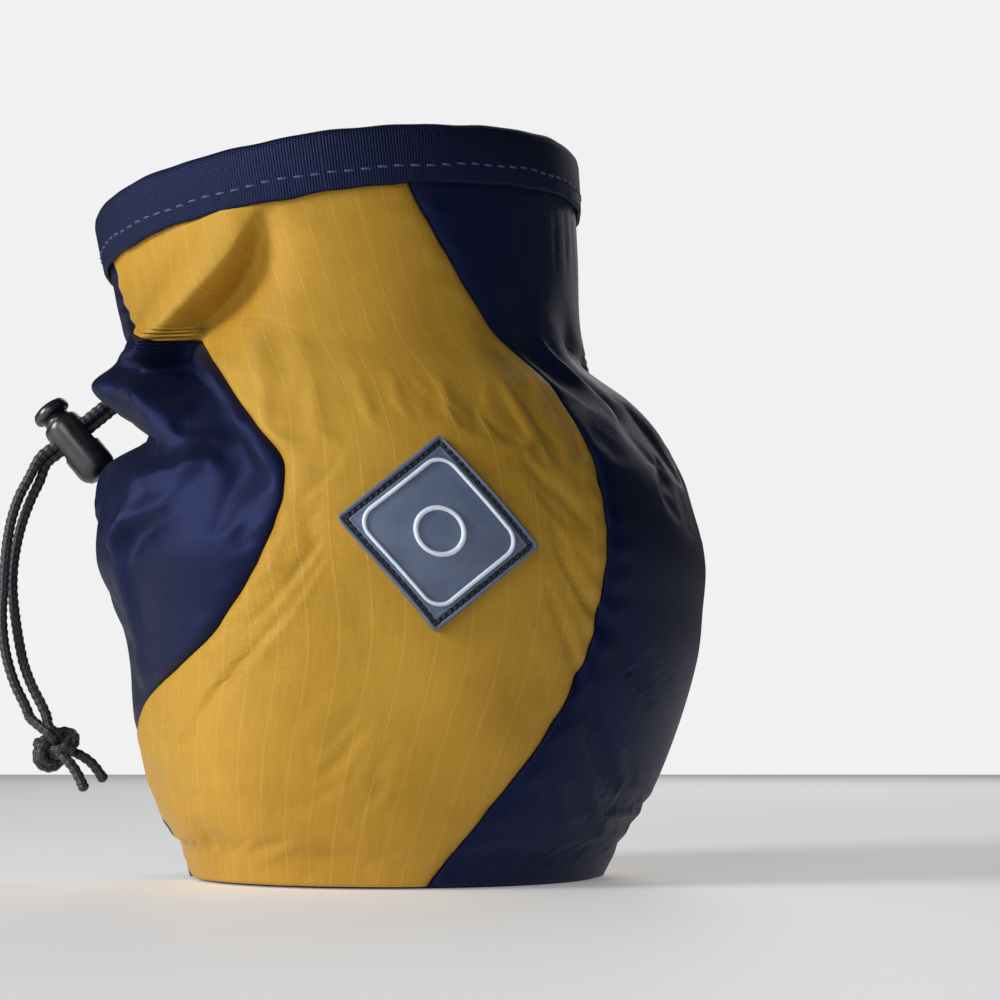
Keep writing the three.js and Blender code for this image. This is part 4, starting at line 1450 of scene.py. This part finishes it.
def patch_point(shell, x, y, offset):
    """A point above the patch's place, from its own across and up in millimetres."""
    across = x * math.cos(PATCH_TURN) - y * math.sin(PATCH_TURN)
    up = x * math.sin(PATCH_TURN) + y * math.cos(PATCH_TURN)
    degree = math.radians(1) * float(radius_at(PATCH_PLACE[1])) / MM
    return shell.at(PATCH_PLACE[0] + across / degree, PATCH_PLACE[1] + up * MM, offset * MM)


def patch_relief(x, y):
    inward = -rounded_square(x, y, PATCH_HALF, 1.2)
    lip = 0.55 * np.exp(-(((inward - 0.45) / 0.4) ** 4))
    groove = -0.5 * np.exp(-(((inward - PATCH_GROOVE) / 0.45) ** 4))
    inner_lip = 0.12 * np.exp(-(((inward - 2.1) / 0.3) ** 2))
    edge = -0.8 * (1 - smoothstep(inward, 0.0, 0.28))
    return 2.0 + lip + groove + inner_lip + edge


def make_patch(shell, materials):
    make_plate(shell, materials)
    border = [square_point(share, LINE_HALF, LINE_CORNER) for share in np.arange(200) / 200]
    ring = [(RING_RADIUS * math.cos(t), RING_RADIUS * math.sin(t)) for t in np.arange(96) / 96 * 2 * math.pi]
    for name, line, node, width in (
        ("patch_line", border, "patch_border", 0.42), ("patch_ring", ring, "patch_motif", 0.5),
    ):
        raised = raised_line(shell, name, line, width, materials["pale"])
        place_piece(raised, node)
    make_patch_stitches(shell, materials)


def make_plate(shell, materials):
    """The rubber plate: its relief as a grid over the cloth, with a skirt and a closed back."""
    steps = np.linspace(-1, 1, PATCH_STEPS)
    x, y = np.meshgrid(steps * PATCH_HALF, steps * PATCH_HALF, indexing="ij")
    corner_pull = 1 - 0.02 * (np.abs(steps)[:, None] * np.abs(steps)[None]) ** 10
    x, y = x * corner_pull, y * corner_pull
    relief = patch_relief(x, y)
    points = [patch_point(shell, *spot) for spot in zip(x.ravel(), y.ravel(), relief.ravel())]
    last = PATCH_STEPS - 1
    edge = [(i, 0) for i in range(PATCH_STEPS)]
    edge += [(last, j) for j in range(1, PATCH_STEPS)]
    edge += [(i, last) for i in range(last - 1, -1, -1)]
    edge += [(0, j) for j in range(last - 1, 0, -1)]
    skirt = len(points)
    points += [patch_point(shell, x[i, j], y[i, j], PLATE_FOOT) for i, j in edge]
    faces = grid_faces(PATCH_STEPS, PATCH_STEPS)
    for k, (i, j) in enumerate(edge):
        after = (k + 1) % len(edge)
        m, n = edge[after]
        faces.append((skirt + k, skirt + after, m * PATCH_STEPS + n, i * PATCH_STEPS + j))
    faces.append(tuple(skirt + k for k in range(len(edge)))[::-1])
    plate = mesh_object("rubber_patch", np.array(points), faces, materials["slate"])
    place_piece(plate, "patch_base")


def square_point(share, half, corner):
    """A point on a rounded square's line, share of the way round by turn."""
    turn = 2 * math.pi * share
    direction = np.array((math.cos(turn), math.sin(turn)))
    reach = half
    for _ in range(12):
        reach -= float(rounded_square(*(direction * reach), half, corner))
    return tuple(direction * reach)


def raised_line(shell, name, line, half_width, material):
    """A closed bead of rubber with a rounded top along a line on the patch."""
    section = [(-1, 1.9), (-0.95, 2.3), (-0.6, 2.55), (0, 2.62), (0.6, 2.55), (0.95, 2.3), (1, 1.9)]
    line = np.array(line)
    way = np.roll(line, -1, 0) - np.roll(line, 1, 0)
    way /= np.linalg.norm(way, axis=1, keepdims=True)
    out = np.stack([way[:, 1], -way[:, 0]], axis=1)
    rings = []
    for point, side in zip(line, out):
        rings.append([patch_point(shell, *(point + side * s * half_width), height) for s, height in section])
    return ring_object(name, rings, material)


def make_patch_stitches(shell, materials):
    """Slanted black stitches in the groove, with a needle hole's width between one and the next."""
    middle = PATCH_HALF - PATCH_GROOVE
    count = round(8 * middle / PATCH_STITCH / 4)
    threads = []
    for quarter in range(4):
        turn = quarter * math.pi / 2
        for k in range(count):
            start = -middle + 2 * middle * (k + 0.14) / count
            end = -middle + 2 * middle * (k + 0.9) / count
            threads.append(thread_over(lambda t: patch_stitch(shell, turn, middle, start, end, t)))
    thread = tubes_object("patch_stitching", threads, 0.3 * MM, materials["black_thread"])
    place_piece(thread)


def patch_stitch(shell, turn, middle, start, end, share):
    along = start + (end - start) * share
    beside = middle + 0.28 * (share - 0.5) * 2
    x = along * math.cos(turn) - beside * math.sin(turn)
    y = along * math.sin(turn) + beside * math.cos(turn)
    return patch_point(shell, x, y, 1.88 - 0.3 * (2 * share - 1) ** 4)


# ---- Belt loop and the eyelet where the cord leaves ----

LOOP_X = -11.92 * MM
LOOP_HALF_WIDTH = 14 * MM
LOOP_THICK = 1.6 * MM
# The strap's inner face, as (y, z) in millimetres from its upper foot down.
LOOP_ROUTE = [
    (53.9, 140), (53.8, 137), (54.0, 134.4), (55.2, 131.5), (57.6, 128.5), (59.9, 124.5), (60.2, 121),
    (59.8, 116.5), (58.2, 113.5), (57.6, 111.3), (58.0, 108.5), (58.9, 105.5),
]
LOOP_SECTION = [
    (-1, 0.15), (-0.97, 0), (-0.5, 0), (0, 0), (0.5, 0), (0.97, 0), (1, 0.15),
    (1, 0.85), (0.97, 1), (0.5, 1), (0, 1), (-0.5, 1), (-0.97, 1), (-1, 0.85),
]
LOOP_STITCH = 2.4
# The stitched box on each foot: its lower and upper edges and how far back the strap's face lies.
LOOP_FEET = ((134.6, 139.4, 55.55), (106, 110.8, 60.0))
LOOP_BOX_HALF = 12.5
LOWER_FOOT_LEAN = -0.22


def make_belt_loop(materials):
    route = smooth_path([(0, y, z) for y, z in LOOP_ROUTE], 0.4) * MM
    ways = np.gradient(route, axis=0)
    ways /= np.linalg.norm(ways, axis=1, keepdims=True)
    outs = np.stack([0 * ways[:, 0], -ways[:, 2], ways[:, 1]], axis=1)
    rings = []
    for point, out in zip(route, outs):
        ring = []
        for side, depth in LOOP_SECTION:
            spot = point + out * depth * LOOP_THICK
            ring.append((LOOP_X + side * LOOP_HALF_WIDTH, spot[1], spot[2]))
        rings.append(ring[::-1])
    along = path_length(route)
    strap = ring_object("belt_webbing", rings, materials["webbing"], closed=False, along=along)
    place_piece(strap, "belt_loop")
    make_loop_stitches(materials)


def make_loop_stitches(materials):
    """A boxed cross of stitches over each foot of the belt loop."""
    threads = []
    half = LOOP_BOX_HALF
    for low, high, near in LOOP_FEET:
        corners = [(-half, low), (half, low), (half, high), (-half, high), (-half, low), (half, high)]
        corners += [(half, low), (-half, high)]
        lean = LOWER_FOOT_LEAN if near == LOOP_FEET[1][2] else 0
        for start, end in zip(corners, corners[1:]):
            count = max(1, round(math.dist(start, end) / LOOP_STITCH))
            for k in range(count):
                shares = ((k + 0.12) / count, (k + 0.88) / count)
                threads.append(loop_stitch(start, end, shares, near, lean, low))
    thread = tubes_object("belt_loop_stitching", threads, 0.25 * MM, materials["blue_thread"])
    place_piece(thread)


def loop_stitch(start, end, shares, near, lean, low):
    """One stitch of the seam from start to end, each an (x, z) in millimetres on the strap's face.

    shares are the two ends of the stitch, as shares of the seam.
    """

    def spot(share):
        part = shares[0] + (shares[1] - shares[0]) * share
        x, z = (a + (b - a) * part for a, b in zip(start, end))
        return LOOP_X + x * MM, (near + lean * (z - low)) * MM, z * MM

    return thread_over(spot)


EYELET_HALF = (2.9, 2.8)
EYELET_THREADS = 34
EYELET_WIDTH = 0.62


def make_eyelet(shell, materials):
    """Stitches lying side by side round the buttonhole that the drawcord leaves through."""
    threads = []
    degree = math.radians(1) * float(radius_at(WAIST)) / MM
    for k in range(EYELET_THREADS):
        turn = 2 * math.pi * k / EYELET_THREADS
        x, y = math.cos(turn), math.sin(turn)

        def spot(share):
            reach = 1.0 + EYELET_WIDTH * share
            rise = 0.35 - 0.5 * (2 * share - 1) ** 4
            angle = EXIT_ANGLE + x * EYELET_HALF[0] * reach / degree
            return shell.at(angle, WAIST + y * EYELET_HALF[1] * reach * MM, rise * MM)

        threads.append(thread_over(spot))
    thread = tubes_object("eyelet_stitching", threads, 0.33 * MM, materials["navy_thread"])
    place_piece(thread)


make_camera()
make_light()
make_floor()
materials = make_materials()
make_cords(materials)
make_lock(materials)
shell = Shell()
make_panels(shell, materials)
make_lining(shell, materials)
make_casing(shell, materials)
make_base(materials)
make_binding(materials)
make_patch(shell, materials)
make_belt_loop(materials)
make_eyelet(shell, materials)
